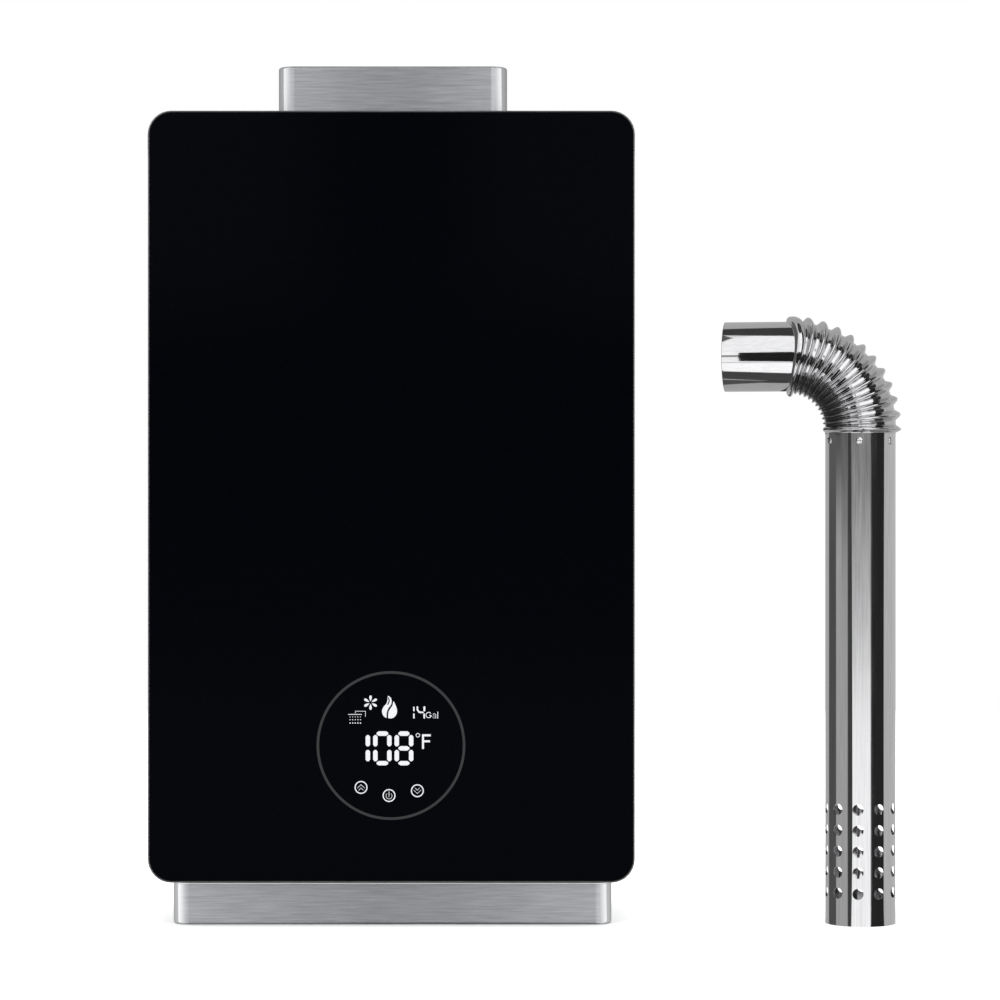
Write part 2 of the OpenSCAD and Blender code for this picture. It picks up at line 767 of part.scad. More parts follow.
module burner_bars() {
  y0 = chamber_y0 + chamber_wall + 1;
  y1 = chamber_y1 - chamber_wall - 1;
  z0 = burner_z + chamber_wall;
  slot_count = 7;
  slot_pitch = (y1 - y0) / slot_count;
  color("slategray") for (i = [0:bar_count - 1])
    translate([(i - (bar_count - 1) / 2) * bar_pitch, 0, 0]) difference() {
      block(-bar_w / 2, bar_w / 2, y0, y1, z0, z0 + bar_h);
      rod_y(0, y0 - 1, nozzle_z, y1 - y0 - 6, 3.5);
      block(-1.5, 1.5, y0 + 6, y1 - 6, nozzle_z, z0 + bar_h - 6);
      for (k = [0:slot_count - 1])
        block(-bar_w / 2 + 1.5, bar_w / 2 - 1.5, y0 + (k + 0.5) * slot_pitch - 1.5,
          y0 + (k + 0.5) * slot_pitch + 1.5, z0 + bar_h - 8, z0 + bar_h + 1);
    }
}

module gas_manifold() {
  half = bar_pitch * (bar_count - 1) / 2 + 8;
  z0 = nozzle_z - manifold_h / 2;
  color("lightgray") difference() {
    union() {
      block(-half, half, manifold_y - manifold_half, manifold_y + manifold_half, z0, z0 + manifold_h);
      for (x = [-bar_pitch, bar_pitch] * (bar_count - 2) / 2)
        block(x - 4, x + 4, manifold_y, chamber_y0, z0, z0 + manifold_h);
    }
    rod_x(-half + 4, manifold_y, nozzle_z, 2 * half - 8, 4);
    rod_z(gas_x, manifold_y, z0 - 1, manifold_h / 2 + 1, 5);
    for (i = [0:bar_count - 1])
      rod_y((i - (bar_count - 1) / 2) * bar_pitch, manifold_y, nozzle_z, manifold_half + 1, 1.5);
  }
}

module gas_nozzles() {
  nozzle_l = chamber_y0 - manifold_y - manifold_half + 0.6;
  color("goldenrod") for (i = [0:bar_count - 1])
    translate([(i - (bar_count - 1) / 2) * bar_pitch, manifold_y + manifold_half, nozzle_z]) rotate([-90, 0, 0])
      difference() {
        union() {
          cylinder(h = 3, r = 4.5, $fn = 6);
          cylinder(h = nozzle_l, r = 3);
        }
        translate([0, 0, -1]) cylinder(h = nozzle_l + 2, r = 0.8);
      }
}

module electrode_insulators() {
  color("white") for (x = electrode_xs)
    translate([x, chamber_y0, electrode_z]) rotate([-90, 0, 0]) difference() {
      union() {
        translate([0, 0, -14]) cylinder(h = 19, r = insulator_r);
        translate([0, 0, -3]) cylinder(h = 3, r = insulator_r + 3);
      }
      translate([0, 0, -15]) cylinder(h = 21, r = pin_r + run_fit);
    }
}

module electrode_pins() {
  color("silver") for (x = electrode_xs)
    rod_y(x, chamber_y0 - 20, electrode_z, 20 + chamber_d / 2, pin_r);
}

// Fittings through the bottom plate
module fitting(x, y, top, body_r) {
  translate([x, y, 0]) difference() {
    union() {
      rod_z(0, 0, thread_z, thread_l, thread_r);
      rod_z(0, 0, nut_z, nut_h + sheet_t, neck_r);
      translate([0, 0, deck_z]) cylinder(h = flange_t, r = hex_r, $fn = 6);
      rod_z(0, 0, deck_z, top - deck_z, body_r);
    }
    rod_z(0, 0, thread_z - 1, top - thread_z + 2, fitting_bore);
  }
}

module gas_inlet() {
  color("goldenrod") fitting(gas_x, gas_y, valve_z, 10);
}

module cold_inlet() {
  color("goldenrod") fitting(cold_x, cold_y, fitting_z, 12);
}

module hot_outlet() {
  color("goldenrod") difference() {
    fitting(hot_x, hot_y, fitting_z, 10);
    rod_z(hot_x, hot_y, fitting_z - socket_depth, socket_depth + 1, tube_r + tube_fit);
  }
}

module lock_nuts() {
  color("goldenrod") for (p = [[gas_x, gas_y], [cold_x, cold_y], [hot_x, hot_y]])
    translate([p[0], p[1], nut_z]) difference() {
      cylinder(h = nut_h, r = hex_r, $fn = 6);
      translate([0, 0, -1]) cylinder(h = nut_h + 2, r = neck_r + tube_fit);
    }
}

// Gas line
module gas_valve() {
  mid_z = (valve_z + valve_top) / 2;
  color("lightgray") difference() {
    block(gas_x - valve_w / 2, gas_x + valve_w / 2, valve_y, valve_y + valve_d, valve_z, valve_top);
    rod_z(gas_x, gas_y, valve_z - 1, mid_z - valve_z + 1, fitting_bore);
    rod_y(gas_x, manifold_y, mid_z, gas_y - manifold_y, 4);
    rod_z(gas_x, manifold_y, mid_z, valve_top - mid_z + 1, fitting_bore);
  }
}

module gas_riser() {
  top = nozzle_z - manifold_h / 2;
  color("lightgray") translate([gas_x, manifold_y, valve_top]) difference() {
    union() {
      cylinder(h = top - valve_top, r = riser_r);
      cylinder(h = 4, r = riser_r + 1.5);
      translate([0, 0, top - valve_top - 4]) cylinder(h = 4, r = riser_r + 1.5);
    }
    translate([0, 0, -1]) cylinder(h = top - valve_top + 2, r = fitting_bore);
  }
}

module solenoid_coils() {
  color("saddlebrown") for (x = [gas_x - solenoid_dx, gas_x + solenoid_dx])
    translate([x, solenoid_y, valve_top]) difference() {
      cylinder(h = coil_h, r = coil_r);
      translate([0, 0, -1]) cylinder(h = plunger_h + plunger_lift + 3, r = plunger_r + run_fit);
      translate([0, 0, 1]) cylinder(h = coil_h, r = 2);
    }
}

module plunger(x) {
  color("silver") rod_z(x, solenoid_y, valve_top, plunger_h, plunger_r);
}

module main_plunger() {
  plunger(gas_x - solenoid_dx);
}

module modulating_plunger() {
  plunger(gas_x + solenoid_dx);
}

// Water line
module inlet_filter() {
  color("dimgray") translate([cold_x, cold_y, thread_z + 6]) difference() {
    cylinder(h = 34, r = filter_r);
    translate([0, 0, -1]) cylinder(h = 34, r = filter_r - 0.8);
  }
}

module flow_sensor() {
  room_z = fitting_z + 10;
  room_h = sensor_h - 20;
  color("dimgray") translate([cold_x, cold_y, 0]) {
    difference() {
      union() {
        rod_z(0, 0, fitting_z, sensor_h, sensor_r);
        block(-7, 7, -sensor_r - 6, 0, room_z, room_z + 22);
      }
      rod_z(0, 0, room_z, room_h, rotor_room);
      rod_z(0, 0, fitting_z - 1, 12, fitting_bore);
      rod_z(0, 0, room_z + room_h - 1, 12, fitting_bore);
      rod_z(0, 0, sensor_top - socket_depth, socket_depth + 1, tube_r + tube_fit);
    }
    for (z = [room_z - 2, room_z + room_h])
      block(-fitting_bore - 1, fitting_bore + 1, -1.5, 1.5, z, z + 2);
    rod_z(0, 0, room_z - 1, room_h + 2, axle_r);
  }
}

module flow_rotor() {
  rotor_h = 16;
  blades = 6;
  color("white") translate([cold_x, cold_y, fitting_z + (sensor_h - rotor_h) / 2]) difference() {
    union() {
      cylinder(h = rotor_h, r = 3.5);
      for (i = [0:blades - 1])
        rotate([0, 0, 360 * i / blades]) translate([0, -0.6, 0]) cube([rotor_r, 1.2, rotor_h]);
    }
    translate([0, 0, -1]) cylinder(h = rotor_h + 2, r = axle_r + run_fit);
  }
}

module cold_pipe() {
  color("chocolate") route([
    [cold_x, cold_y, sensor_top - socket_depth], [cold_x, cold_y, cold_turn_z],
    [coil_x, cold_y, cold_turn_z], [coil_x, cold_y, join_z]
  ], tube_r, tube_in, tube_bend);
}

module hot_pipe() {
  color("chocolate") route([
    [-pass_end, hot_y, pass_z], [hot_x, hot_y, pass_z], [hot_x, hot_y, fitting_z - socket_depth]
  ], tube_r, tube_in, tube_bend);
}

module drain_valve() {
  color("goldenrod") difference() {
    union() {
      rod_z(drain_x, cold_y, drain_foot, deck_z + 28 - drain_foot, drain_r);
      rod_z(drain_x, cold_y, deck_z, 3, drain_r + 4);
      rod_x(cold_x + 12 + tube_fit, cold_y, drain_z, drain_dx - 12 - tube_fit, 6);
    }
    rod_z(drain_x, cold_y, drain_foot - 1, drain_z + 5 - drain_foot, stem_r + run_fit);
    rod_x(cold_x + 12, cold_y, drain_z, drain_dx - 12, 3);
  }
}

module drain_stem() {
  color("silver") rod_z(drain_x, cold_y, knob_z, drain_z - 5 - knob_z, stem_r);
}

module drain_knob() {
  grips = 18;
  color("black") translate([drain_x, cold_y, knob_z]) difference() {
    cylinder(h = knob_h, r = knob_r);
    translate([0, 0, -1]) cylinder(h = knob_h + 2, r = stem_r + 0.02);
    for (i = [0:grips - 1])
      rotate([0, 0, 360 * i / grips]) translate([knob_r + 0.4, 0, -1]) cylinder(h = knob_h + 2, r = 1.2);
  }
}

// Electrics
module control_box() {
  x1 = inner_half - 9;
  back = box_front + box_d;
  color("gainsboro") {
    difference() {
      block(box_x, x1, box_front, back, box_z, box_z + box_h);
      block(box_x + box_wall, x1 - box_wall, box_front - 1, back - box_wall, box_z + box_wall,
        box_z + box_h - box_wall);
    }
    for (x = [box_x + 10, x1 - 10])
      block(x - 5, x + 5, box_front + 6, back - 6, deck_z, box_z);
    for (x = [box_x + 10, x1 - 10])
      for (z = [box_z + 10, box_z + box_h - 10])
        rod_y(x, back - box_wall - 6, z, 7, 3);
  }
}

module control_board() {
  x0 = box_x + box_wall + 2;
  x1 = inner_half - 9 - box_wall - 2;
  back = box_front + box_d - box_wall - 6;
  z0 = box_z + box_wall + 2;
  color("darkgreen") {
    block(x0, x1, back - board_t, back, z0, box_z + box_h - box_wall - 2);
    block(x0 + 8, x0 + 38, back - 26, back - 1, z0 + 52, z0 + 82);
    block(x0 + 48, x0 + 66, back - 17, back - 1, z0 + 60, z0 + 84);
    block(x0 + 72, x0 + 90, back - 17, back - 1, z0 + 60, z0 + 84);
    block(x0 + 10, x0 + 90, back - 11, back - 1, z0 + 6, z0 + 14);
    rod_y(x0 + 56, back - 21, z0 + 36, 20, 8);
    block(x0 + 14, x0 + 36, back - 4, back - 1, z0 + 26, z0 + 40);
  }
}

module ignition_module() {
  x0 = -inner_half + 9;
  x1 = gas_x - valve_w / 2 - 14;
  color("black") {
    block(x0, x1, box_front, box_front + 40, deck_z, deck_z + 38);
    for (x = [x0 + 14, x1 - 14])
      rod_z(x, box_front + 20, deck_z + 37, 12, 5);
  }
}

module cable_gland() {
  color("black") translate([gland_x, gland_y, 0]) difference() {
    union() {
      rod_z(0, 0, deck_z - 14, 20, gland_r);
      translate([0, 0, deck_z]) cylinder(h = 5, r = gland_r + 5, $fn = 6);
      translate([0, 0, deck_z - 14]) cylinder(h = 8, r = gland_r + 3, $fn = 6);
    }
    rod_z(0, 0, deck_z - 15, 24, 4);
  }
}

// Loose flue pipe
module at_flue() {
  translate([flue_x, flue_y, 0]) rotate([0, 0, -flue_yaw]) children();
}

module flue_spigot() {
  color("silver") at_flue() translate([-flue_bend - flue_short, 0, flue_long + flue_bend]) rotate([0, 90, 0])
    tube(flue_short, pipe_r, pipe_r - flue_wall);
}

function bend_ring(turn, r, sides) = [for (k = [0:sides - 1]) let (a = 360 * k / sides) [
  -flue_bend + (flue_bend + r * cos(a)) * cos(turn),
  r * sin(a),
  flue_long + (flue_bend + r * cos(a)) * sin(turn)
]];

module flue_elbow() {
  sides = 24;
  rib_steps = 4;
  bore_steps = 12;
  rings = rib_count * rib_steps + 1;
  bore_r = pipe_r - flue_wall - 0.3;
  outside = flat([for (j = [0:rings - 1])
    bend_ring(90 * j / (rings - 1), pipe_r + rib_h / 2 * (1 - cos(360 * j / rib_steps)), sides)]);
  bore = flat([for (j = [0:bore_steps]) bend_ring(90 * j / bore_steps, bore_r, sides)]);
  skin = flat([for (j = [0:rings - 2]) strip(j, j + 1, sides)]);
  bore_skin = flat([for (j = [0:bore_steps - 1]) strip(rings + j + 1, rings + j, sides)]);
  start_face = strip(rings, 0, sides);
  end_face = strip(rings - 1, rings + bore_steps, sides);
  color("silver") at_flue() polyhedron(concat(outside, bore), concat(skin, bore_skin, start_face, end_face));
}

// A hole through one side of the pipe wall
module wall_hole(turn, z, r) {
  rotate([0, 0, turn]) rod_x(pipe_r - 4, 0, z, 8, r);
}

module flue_duct() {
  color("silver") translate([flue_x, flue_y, 0]) difference() {
    tube(flue_long, pipe_r, pipe_r - flue_wall);
    for (row = [0:vent_rows - 1])
      for (i = [0:vent_columns - 1])
        wall_hole(vent_turn + 360 * i / vent_columns, vent_up + row * vent_pitch, vent_d / 2);
    for (i = [0:rivet_count - 1])
      wall_hole(rivet_turn + 360 * i / rivet_count, flue_long - neck_h / 2, rivet_r + run_fit);
  }
}

module flue_neck() {
  color("silver") translate([flue_x, flue_y, flue_long - neck_h]) difference() {
    tube(neck_h, neck_out, neck_out - flue_wall);
    for (i = [0:rivet_count - 1])
      wall_hole(rivet_turn + 360 * i / rivet_count, neck_h / 2, rivet_r + run_fit);
  }
}

module flue_rivets() {
  color("silver") translate([flue_x, flue_y, flue_long - neck_h / 2]) for (i = [0:rivet_count - 1])
    rotate([0, 0, rivet_turn + 360 * i / rivet_count]) {
      rod_x(neck_out - flue_wall - 0.5, 0, 0, pipe_r - neck_out + flue_wall + 1, rivet_r);
      rod_x(pipe_r + 0.05, 0, 0, 0.6, rivet_r + 0.6);
    }
}

skirt();
bottom_plate();
back_plate();
top_plate();
exchanger_brackets();
front_casing();
cover_screws();
bezel_frame();
glass_panel();
display_light_box();
display_board();
touch_springs();
flue_cowl();
flue_outlet();
flue_seal();
fume_hood();
fan_volute();
fan_motor();
fan_shaft();
fan_impeller();
pressure_switch();
pressure_hose();
exchanger_shell();
exchanger_fins();
exchanger_tube();
coil_tube();
overheat_cutoff();
burner_box();
burner_bars();
gas_manifold();
gas_nozzles();
electrode_insulators();
electrode_pins();
gas_inlet();
gas_valve();
gas_riser();
solenoid_coils();
main_plunger();
modulating_plunger();
cold_inlet();
inlet_filter();
flow_sensor();
flow_rotor();
cold_pipe();
hot_pipe();
hot_outlet();
drain_valve();
drain_stem();
drain_knob();
lock_nuts();
control_box();
control_board();
ignition_module();
cable_gland();
flue_spigot();
flue_elbow();
flue_duct();
flue_neck();
flue_rivets();
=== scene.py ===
"""Looks of a propane tankless water heater and its loose flue pipe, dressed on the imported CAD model."""
import math

import bpy
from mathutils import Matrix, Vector
from mathutils.geometry import tessellate_polygon


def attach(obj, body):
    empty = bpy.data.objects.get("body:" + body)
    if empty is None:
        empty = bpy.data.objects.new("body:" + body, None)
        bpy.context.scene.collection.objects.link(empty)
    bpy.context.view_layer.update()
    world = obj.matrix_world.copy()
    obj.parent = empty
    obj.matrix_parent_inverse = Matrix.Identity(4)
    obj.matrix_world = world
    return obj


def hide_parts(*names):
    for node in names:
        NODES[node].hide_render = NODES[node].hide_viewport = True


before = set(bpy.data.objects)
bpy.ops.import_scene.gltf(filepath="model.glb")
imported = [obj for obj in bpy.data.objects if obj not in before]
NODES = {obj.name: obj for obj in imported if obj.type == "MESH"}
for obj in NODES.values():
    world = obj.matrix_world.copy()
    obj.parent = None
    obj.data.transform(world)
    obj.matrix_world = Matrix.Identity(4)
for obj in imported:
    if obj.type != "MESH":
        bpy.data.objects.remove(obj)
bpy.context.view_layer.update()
MM = 0.001
TURN = 2 * math.pi

# Sizes of the CAD model that the pieces are set to, in millimetres
GLASS_Y = -75.0
DISPLAY_Z = 131.0
PIPE_X, PIPE_Y = 341.0, -45.0
PIPE_R, PIPE_WALL = 25.5, 0.6
PIPE_LONG, PIPE_SHORT, PIPE_BEND = 361.0, 47.0, 52.0
PIPE_YAW = math.radians(10.0)
RIB_COUNT, RIB_H = 12, 4.0

# The photograph: its scale on the glass, and the pixel of the display's centre
PX = 0.72
PANEL_MID_PX = 391.3
DISPLAY_MID_PX = 745.95
CAMERA_AT = (78.3, -2475.0, 308.1)
HALF_VIEW_SLOPE = 0.15


# Camera
def make_camera():
    lens = bpy.data.cameras.new("camera")
    lens.sensor_fit = "HORIZONTAL"
    lens.angle = 2 * math.atan(HALF_VIEW_SLOPE)
    lens.clip_end = 60.0
    camera = bpy.data.objects.new("camera", lens)
    camera.location = [v * MM for v in CAMERA_AT]
    camera.rotation_euler = (math.pi / 2, 0.0, 0.0)
    bpy.context.scene.collection.objects.link(camera)
    bpy.context.scene.camera = camera


make_camera()


# Node helpers
def add(tree, kind, settings=None, inputs=None):
    """A node with its settings, and inputs that are linked where a socket is given."""
    made = tree.nodes.new(kind)
    for key, value in (settings or {}).items():
        setattr(made, key, value)
    for key, value in (inputs or {}).items():
        if isinstance(value, bpy.types.NodeSocket):
            tree.links.new(value, made.inputs[key])
        else:
            made.inputs[key].default_value = value
    return made


def math_node(tree, operation, a, b=0.0):
    return add(tree, "ShaderNodeMath", {"operation": operation}, {0: a, 1: b}).outputs[0]


def span(tree, value, low, high, to_low=0.0, to_high=1.0, smooth=False):
    """A value carried from one range to another."""
    kind = "SMOOTHSTEP" if smooth else "LINEAR"
    return add(tree, "ShaderNodeMapRange", {"interpolation_type": kind},
               {"Value": value, "From Min": low, "From Max": high, "To Min": to_low, "To Max": to_high}).outputs[0]


def noise(tree, scale, detail=4.0, roughness=0.55):
    """Noise in the object's own coordinates, with a scale per metre for each axis."""
    place = add(tree, "ShaderNodeTexCoord").outputs["Object"]
    stretched = add(tree, "ShaderNodeMapping", None, {"Vector": place, "Scale": scale}).outputs[0]
    return add(tree, "ShaderNodeTexNoise", None,
               {"Vector": stretched, "Scale": 1.0, "Detail": detail, "Roughness": roughness}).outputs["Fac"]


def blend(tree, factor, a, b):
    """A colour between two colours."""
    mix = tree.nodes.new("ShaderNodeMix")
    mix.data_type = "RGBA"
    for socket, value in ((mix.inputs["Factor"], factor), (mix.inputs[6], a), (mix.inputs[7], b)):
        if isinstance(value, bpy.types.NodeSocket):
            tree.links.new(value, socket)
        else:
            socket.default_value = value if socket.type != "RGBA" else (*value[:3], 1.0)
    return mix.outputs[2]


def begin(name, **constants):
    """A material with a Principled shader and its constant sockets set."""
    material = bpy.data.materials.new(name)
    material.use_nodes = True
    tree = material.node_tree
    tree.nodes.clear()
    shader = tree.nodes.new("ShaderNodeBsdfPrincipled")
    out = tree.nodes.new("ShaderNodeOutputMaterial")
    tree.links.new(shader.outputs[0], out.inputs["Surface"])
    for key, value in constants.items():
        shader.inputs[key.replace("_", " ")].default_value = value
    return material, tree, shader


def finish_with(tree, shader, colour, rough, height=None, bump=0.0, depth=0.0002):
    tree.links.new(colour, shader.inputs["Base Color"])
    tree.links.new(rough, shader.inputs["Roughness"])
    if height is not None:
        relief = add(tree, "ShaderNodeBump", None, {"Strength": bump, "Distance": depth, "Height": height})
        tree.links.new(relief.outputs[0], shader.inputs["Normal"])


# Materials
def plain_surface(name, dark, light, rough, grain, bump=0.0, **constants):
    """A surface with fine grain, and a slow drift of tone across it."""
    material, tree, shader = begin(name, **constants)
    fine = noise(tree, grain)
    slow = noise(tree, (9.0, 9.0, 9.0), 3.0)
    both = math_node(tree, "MULTIPLY_ADD", fine, 0.6)
    tree.links.new(math_node(tree, "MULTIPLY", slow, 0.4), both.node.inputs[2])
    colour = blend(tree, span(tree, both, 0.3, 0.7), dark, light)
    finish_with(tree, shader, colour, span(tree, both, 0.3, 0.7, rough[0], rough[1]), fine, bump)
    return material


def on_edges(tree, facing):
    """How far an upright surface turns between two faces: 0 on flat faces, 1 halfway round a rounded edge."""
    part = add(tree, "ShaderNodeSeparateXYZ", None, {0: facing}).outputs
    turned = math_node(tree, "MULTIPLY", part["X"], part["Y"])
    return span(tree, math_node(tree, "MULTIPLY", turned, turned), 0.0, 0.25)


# Brush marks per metre, along the brushing and across it
MARKS_ALONG, MARKS_ACROSS = 38.0, 850.0
# The brushing's axis; it leans a little, so that it also gives a direction on level faces
BRUSH_AXIS = (0.0, 0.2, 1.0)


def brushed_metal(name, dark, light, painted_edge_highlight, rough, anisotropic):
    """Metal brushed along the horizontal, on its upright faces and on its tops, with a highlight painted into its
    colour on its rounded upright edges.
    """
    material, tree, shader = begin(name, Metallic=1.0, Anisotropic=anisotropic, Anisotropic_Rotation=0.25)
    upright = noise(tree, (MARKS_ALONG, MARKS_ALONG, MARKS_ACROSS), 4.0)
    level = noise(tree, (MARKS_ALONG, MARKS_ACROSS, MARKS_ALONG), 4.0)
    facing = add(tree, "ShaderNodeNewGeometry").outputs["Normal"]
    up = add(tree, "ShaderNodeSeparateXYZ", None, {0: facing}).outputs["Z"]
    is_level = span(tree, math_node(tree, "ABSOLUTE", up), 0.6, 0.8)
    lines = add(tree, "ShaderNodeMix", {"data_type": "FLOAT"},
                {0: is_level, 2: upright, 3: level}).outputs[0]
    slow = noise(tree, (6.0, 6.0, 6.0), 2.0)
    tone = math_node(tree, "MULTIPLY_ADD", lines, 0.75)
    tree.links.new(math_node(tree, "MULTIPLY", slow, 0.25), tone.node.inputs[2])
    colour = blend(tree, span(tree, tone, 0.3, 0.7), dark, light)
    # Painted highlight: the colour turns to the given light tone on rounded upright edges, standing in for the side
    # light caught by the metal there.
    colour = blend(tree, on_edges(tree, facing), colour, painted_edge_highlight)
    finish_with(tree, shader, colour, span(tree, lines, 0.3, 0.7, rough[0], rough[1]), lines, 0.06, 0.0001)
    along = add(tree, "ShaderNodeVectorMath", {"operation": "CROSS_PRODUCT"}, {0: BRUSH_AXIS, 1: facing})
    tree.links.new(along.outputs[0], shader.inputs["Tangent"])
    return material


def polished_metal(name, dark, light, waves, grain):
    """Mirror-polished sheet with faint drawing lines and a slow waviness."""
    material, tree, shader = begin(name, Metallic=1.0)
    lines = noise(tree, grain, 3.0)
    wave = noise(tree, (22.0, 22.0, 14.0), 2.0)
    colour = blend(tree, span(tree, lines, 0.35, 0.65), dark, light)
    finish_with(tree, shader, colour, span(tree, lines, 0.3, 0.7, 0.05, 0.1), wave, waves, 0.0012)
    return material


def galvanised_metal(name):
    """Zinc-coated sheet with its spangle."""
    material, tree, shader = begin(name, Metallic=1.0)
    place = add(tree, "ShaderNodeTexCoord").outputs["Object"]
    spangle = add(tree, "ShaderNodeTexVoronoi", None, {"Vector": place, "Scale": 95.0, "Randomness": 1.0})
    shade = add(tree, "ShaderNodeSeparateColor", None, {0: spangle.outputs["Color"]}).outputs[0]
    fine = noise(tree, (400.0, 400.0, 400.0))
    tone = math_node(tree, "MULTIPLY_ADD", shade, 0.7)
    tree.links.new(math_node(tree, "MULTIPLY", fine, 0.3), tone.node.inputs[2])
    colour = blend(tree, tone, (0.36, 0.37, 0.385), (0.56, 0.57, 0.58))
    finish_with(tree, shader, colour, span(tree, tone, 0.0, 1.0, 0.34, 0.5), fine, 0.08)
    return material


def glass_black(name):
    """Black-backed toughened glass, anti-glare from the front and glossy from the side, with a trace of dust."""
    material, tree, shader = begin(name, IOR=1.5, Specular_IOR_Level=0.012, Coat_Roughness=0.02)
    facing = add(tree, "ShaderNodeLayerWeight", None, {"Blend": 0.5}).outputs["Facing"]
    tree.links.new(span(tree, facing, 0.04, 0.25, 0.0, 0.4, smooth=True), shader.inputs["Coat Weight"])
    dust = noise(tree, (350.0, 350.0, 350.0), 5.0)
    colour = blend(tree, span(tree, dust, 0.3, 0.7), (0.0005, 0.0007, 0.0013), (0.0008, 0.0010, 0.0018))
    finish_with(tree, shader, colour, span(tree, dust, 0.4, 0.8, 0.02, 0.05))
    return material


def lit_mark(name, tone, strength):
    """A mark lit from behind through the glass."""
    material, tree, shader = begin(name, Emission_Strength=strength, Specular_IOR_Level=0.0)
    drift = noise(tree, (900.0, 900.0, 900.0), 2.0)
    low = tuple(0.9 * v for v in tone)
    colour = blend(tree, span(tree, drift, 0.3, 0.7), low, tone)
    tree.links.new(colour, shader.inputs["Emission Color"])
    finish_with(tree, shader, blend(tree, drift, (0.004, 0.004, 0.004), (0.008, 0.008, 0.008)),
                span(tree, drift, 0.3, 0.7, 0.25, 0.35))
    return material


def circuit_board(name):
    """Green board with fine tracks."""
    material, tree, shader = begin(name)
    place = add(tree, "ShaderNodeTexCoord").outputs["Object"]
    tracks = add(tree, "ShaderNodeTexBrick", {"offset": 0.35}, {
        "Vector": add(tree, "ShaderNodeMapping", None,
                      {"Vector": place, "Rotation": (math.pi / 2, 0.0, 0.0)}).outputs[0],
        "Scale": 90.0, "Mortar Size": 0.012, "Brick Width": 0.7, "Row Height": 0.23,
        "Color1": (0.010, 0.085, 0.035, 1.0), "Color2": (0.012, 0.11, 0.045, 1.0),
        "Mortar": (0.07, 0.26, 0.11, 1.0)})
    fine = noise(tree, (600.0, 600.0, 600.0))
    finish_with(tree, shader, tracks.outputs["Color"], span(tree, fine, 0.3, 0.7, 0.28, 0.42), fine, 0.05)
    return material


FINE = (700.0, 700.0, 700.0)
LOOKS = {
    "brushed_steel": brushed_metal("brushed_steel", (0.325, 0.332, 0.348), (0.469, 0.479, 0.501), (0.88, 0.89, 0.90),
                                   (0.19, 0.22), 0.96),
    # The hem's steel is much lighter than the skirt's: a painted highlight along the bead.
    "hem_steel_painted_bright": brushed_metal("hem_steel_painted_bright", (0.76, 0.765, 0.775), (0.84, 0.845, 0.855), (0.88, 0.89, 0.90),
                               (0.3, 0.36), 0.1),
    "rim_metal": brushed_metal("rim_metal", (0.07, 0.07, 0.072), (0.12, 0.12, 0.122), (0.9, 0.9, 0.9),
                               (0.22, 0.32), 0.4),
    "polished_steel": polished_metal("polished_steel", (0.62, 0.62, 0.63), (0.69, 0.69, 0.70), 0.05,
                                     (800.0, 800.0, 30.0)),
    "short_leg_steel": polished_metal("short_leg_steel", (0.62, 0.62, 0.63), (0.69, 0.69, 0.70), 0.05,
                                      (30.0, 800.0, 800.0)),
    "ribbed_steel": polished_metal("ribbed_steel", (0.58, 0.58, 0.59), (0.66, 0.66, 0.67), 0.0,
                                   (120.0, 120.0, 120.0)),
    "galvanised": galvanised_metal("galvanised"),
    "black_glass": glass_black("black_glass"),
    "steel": plain_surface("steel", (0.42, 0.42, 0.43), (0.58, 0.58, 0.59), (0.22, 0.34), FINE, 0.05, Metallic=1.0),
    "dark_steel": plain_surface("dark_steel", (0.10, 0.10, 0.105), (0.20, 0.195, 0.19), (0.38, 0.55),
                                (250.0, 250.0, 250.0), 0.1, Metallic=1.0),
    "alloy": plain_surface("alloy", (0.38, 0.385, 0.39), (0.54, 0.545, 0.55), (0.42, 0.56),
                           (900.0, 900.0, 900.0), 0.18, Metallic=1.0),
    "copper": plain_surface("copper", (0.42, 0.17, 0.10), (0.78, 0.40, 0.26), (0.2, 0.38),
                            (120.0, 120.0, 120.0), 0.04, Metallic=1.0),
    "brass": plain_surface("brass", (0.46, 0.31, 0.12), (0.72, 0.53, 0.25), (0.2, 0.36),
                           (300.0, 300.0, 300.0), 0.05, Metallic=1.0),
    "black_plastic": plain_surface("black_plastic", (0.012, 0.012, 0.013), (0.024, 0.024, 0.026), (0.38, 0.52),
                                   (1600.0, 1600.0, 1600.0), 0.15),
    "white_plastic": plain_surface("white_plastic", (0.66, 0.65, 0.62), (0.78, 0.77, 0.74), (0.35, 0.48),
                                   (1200.0, 1200.0, 1200.0), 0.1),
    "board_green": circuit_board("board_green"),
    "rubber": plain_surface("rubber", (0.014, 0.014, 0.014), (0.03, 0.03, 0.031), (0.62, 0.8),
                            (500.0, 500.0, 500.0), 0.2),
    "ceramic": plain_surface("ceramic", (0.70, 0.67, 0.60), (0.82, 0.80, 0.75), (0.12, 0.24),
                             (300.0, 300.0, 300.0), 0.03),
}
LIT_WHITE = lit_mark("lit_white", (0.95, 0.97, 1.0), 1.0)
RING_GREY = lit_mark("ring_grey", (0.95, 0.96, 1.0), 0.044)

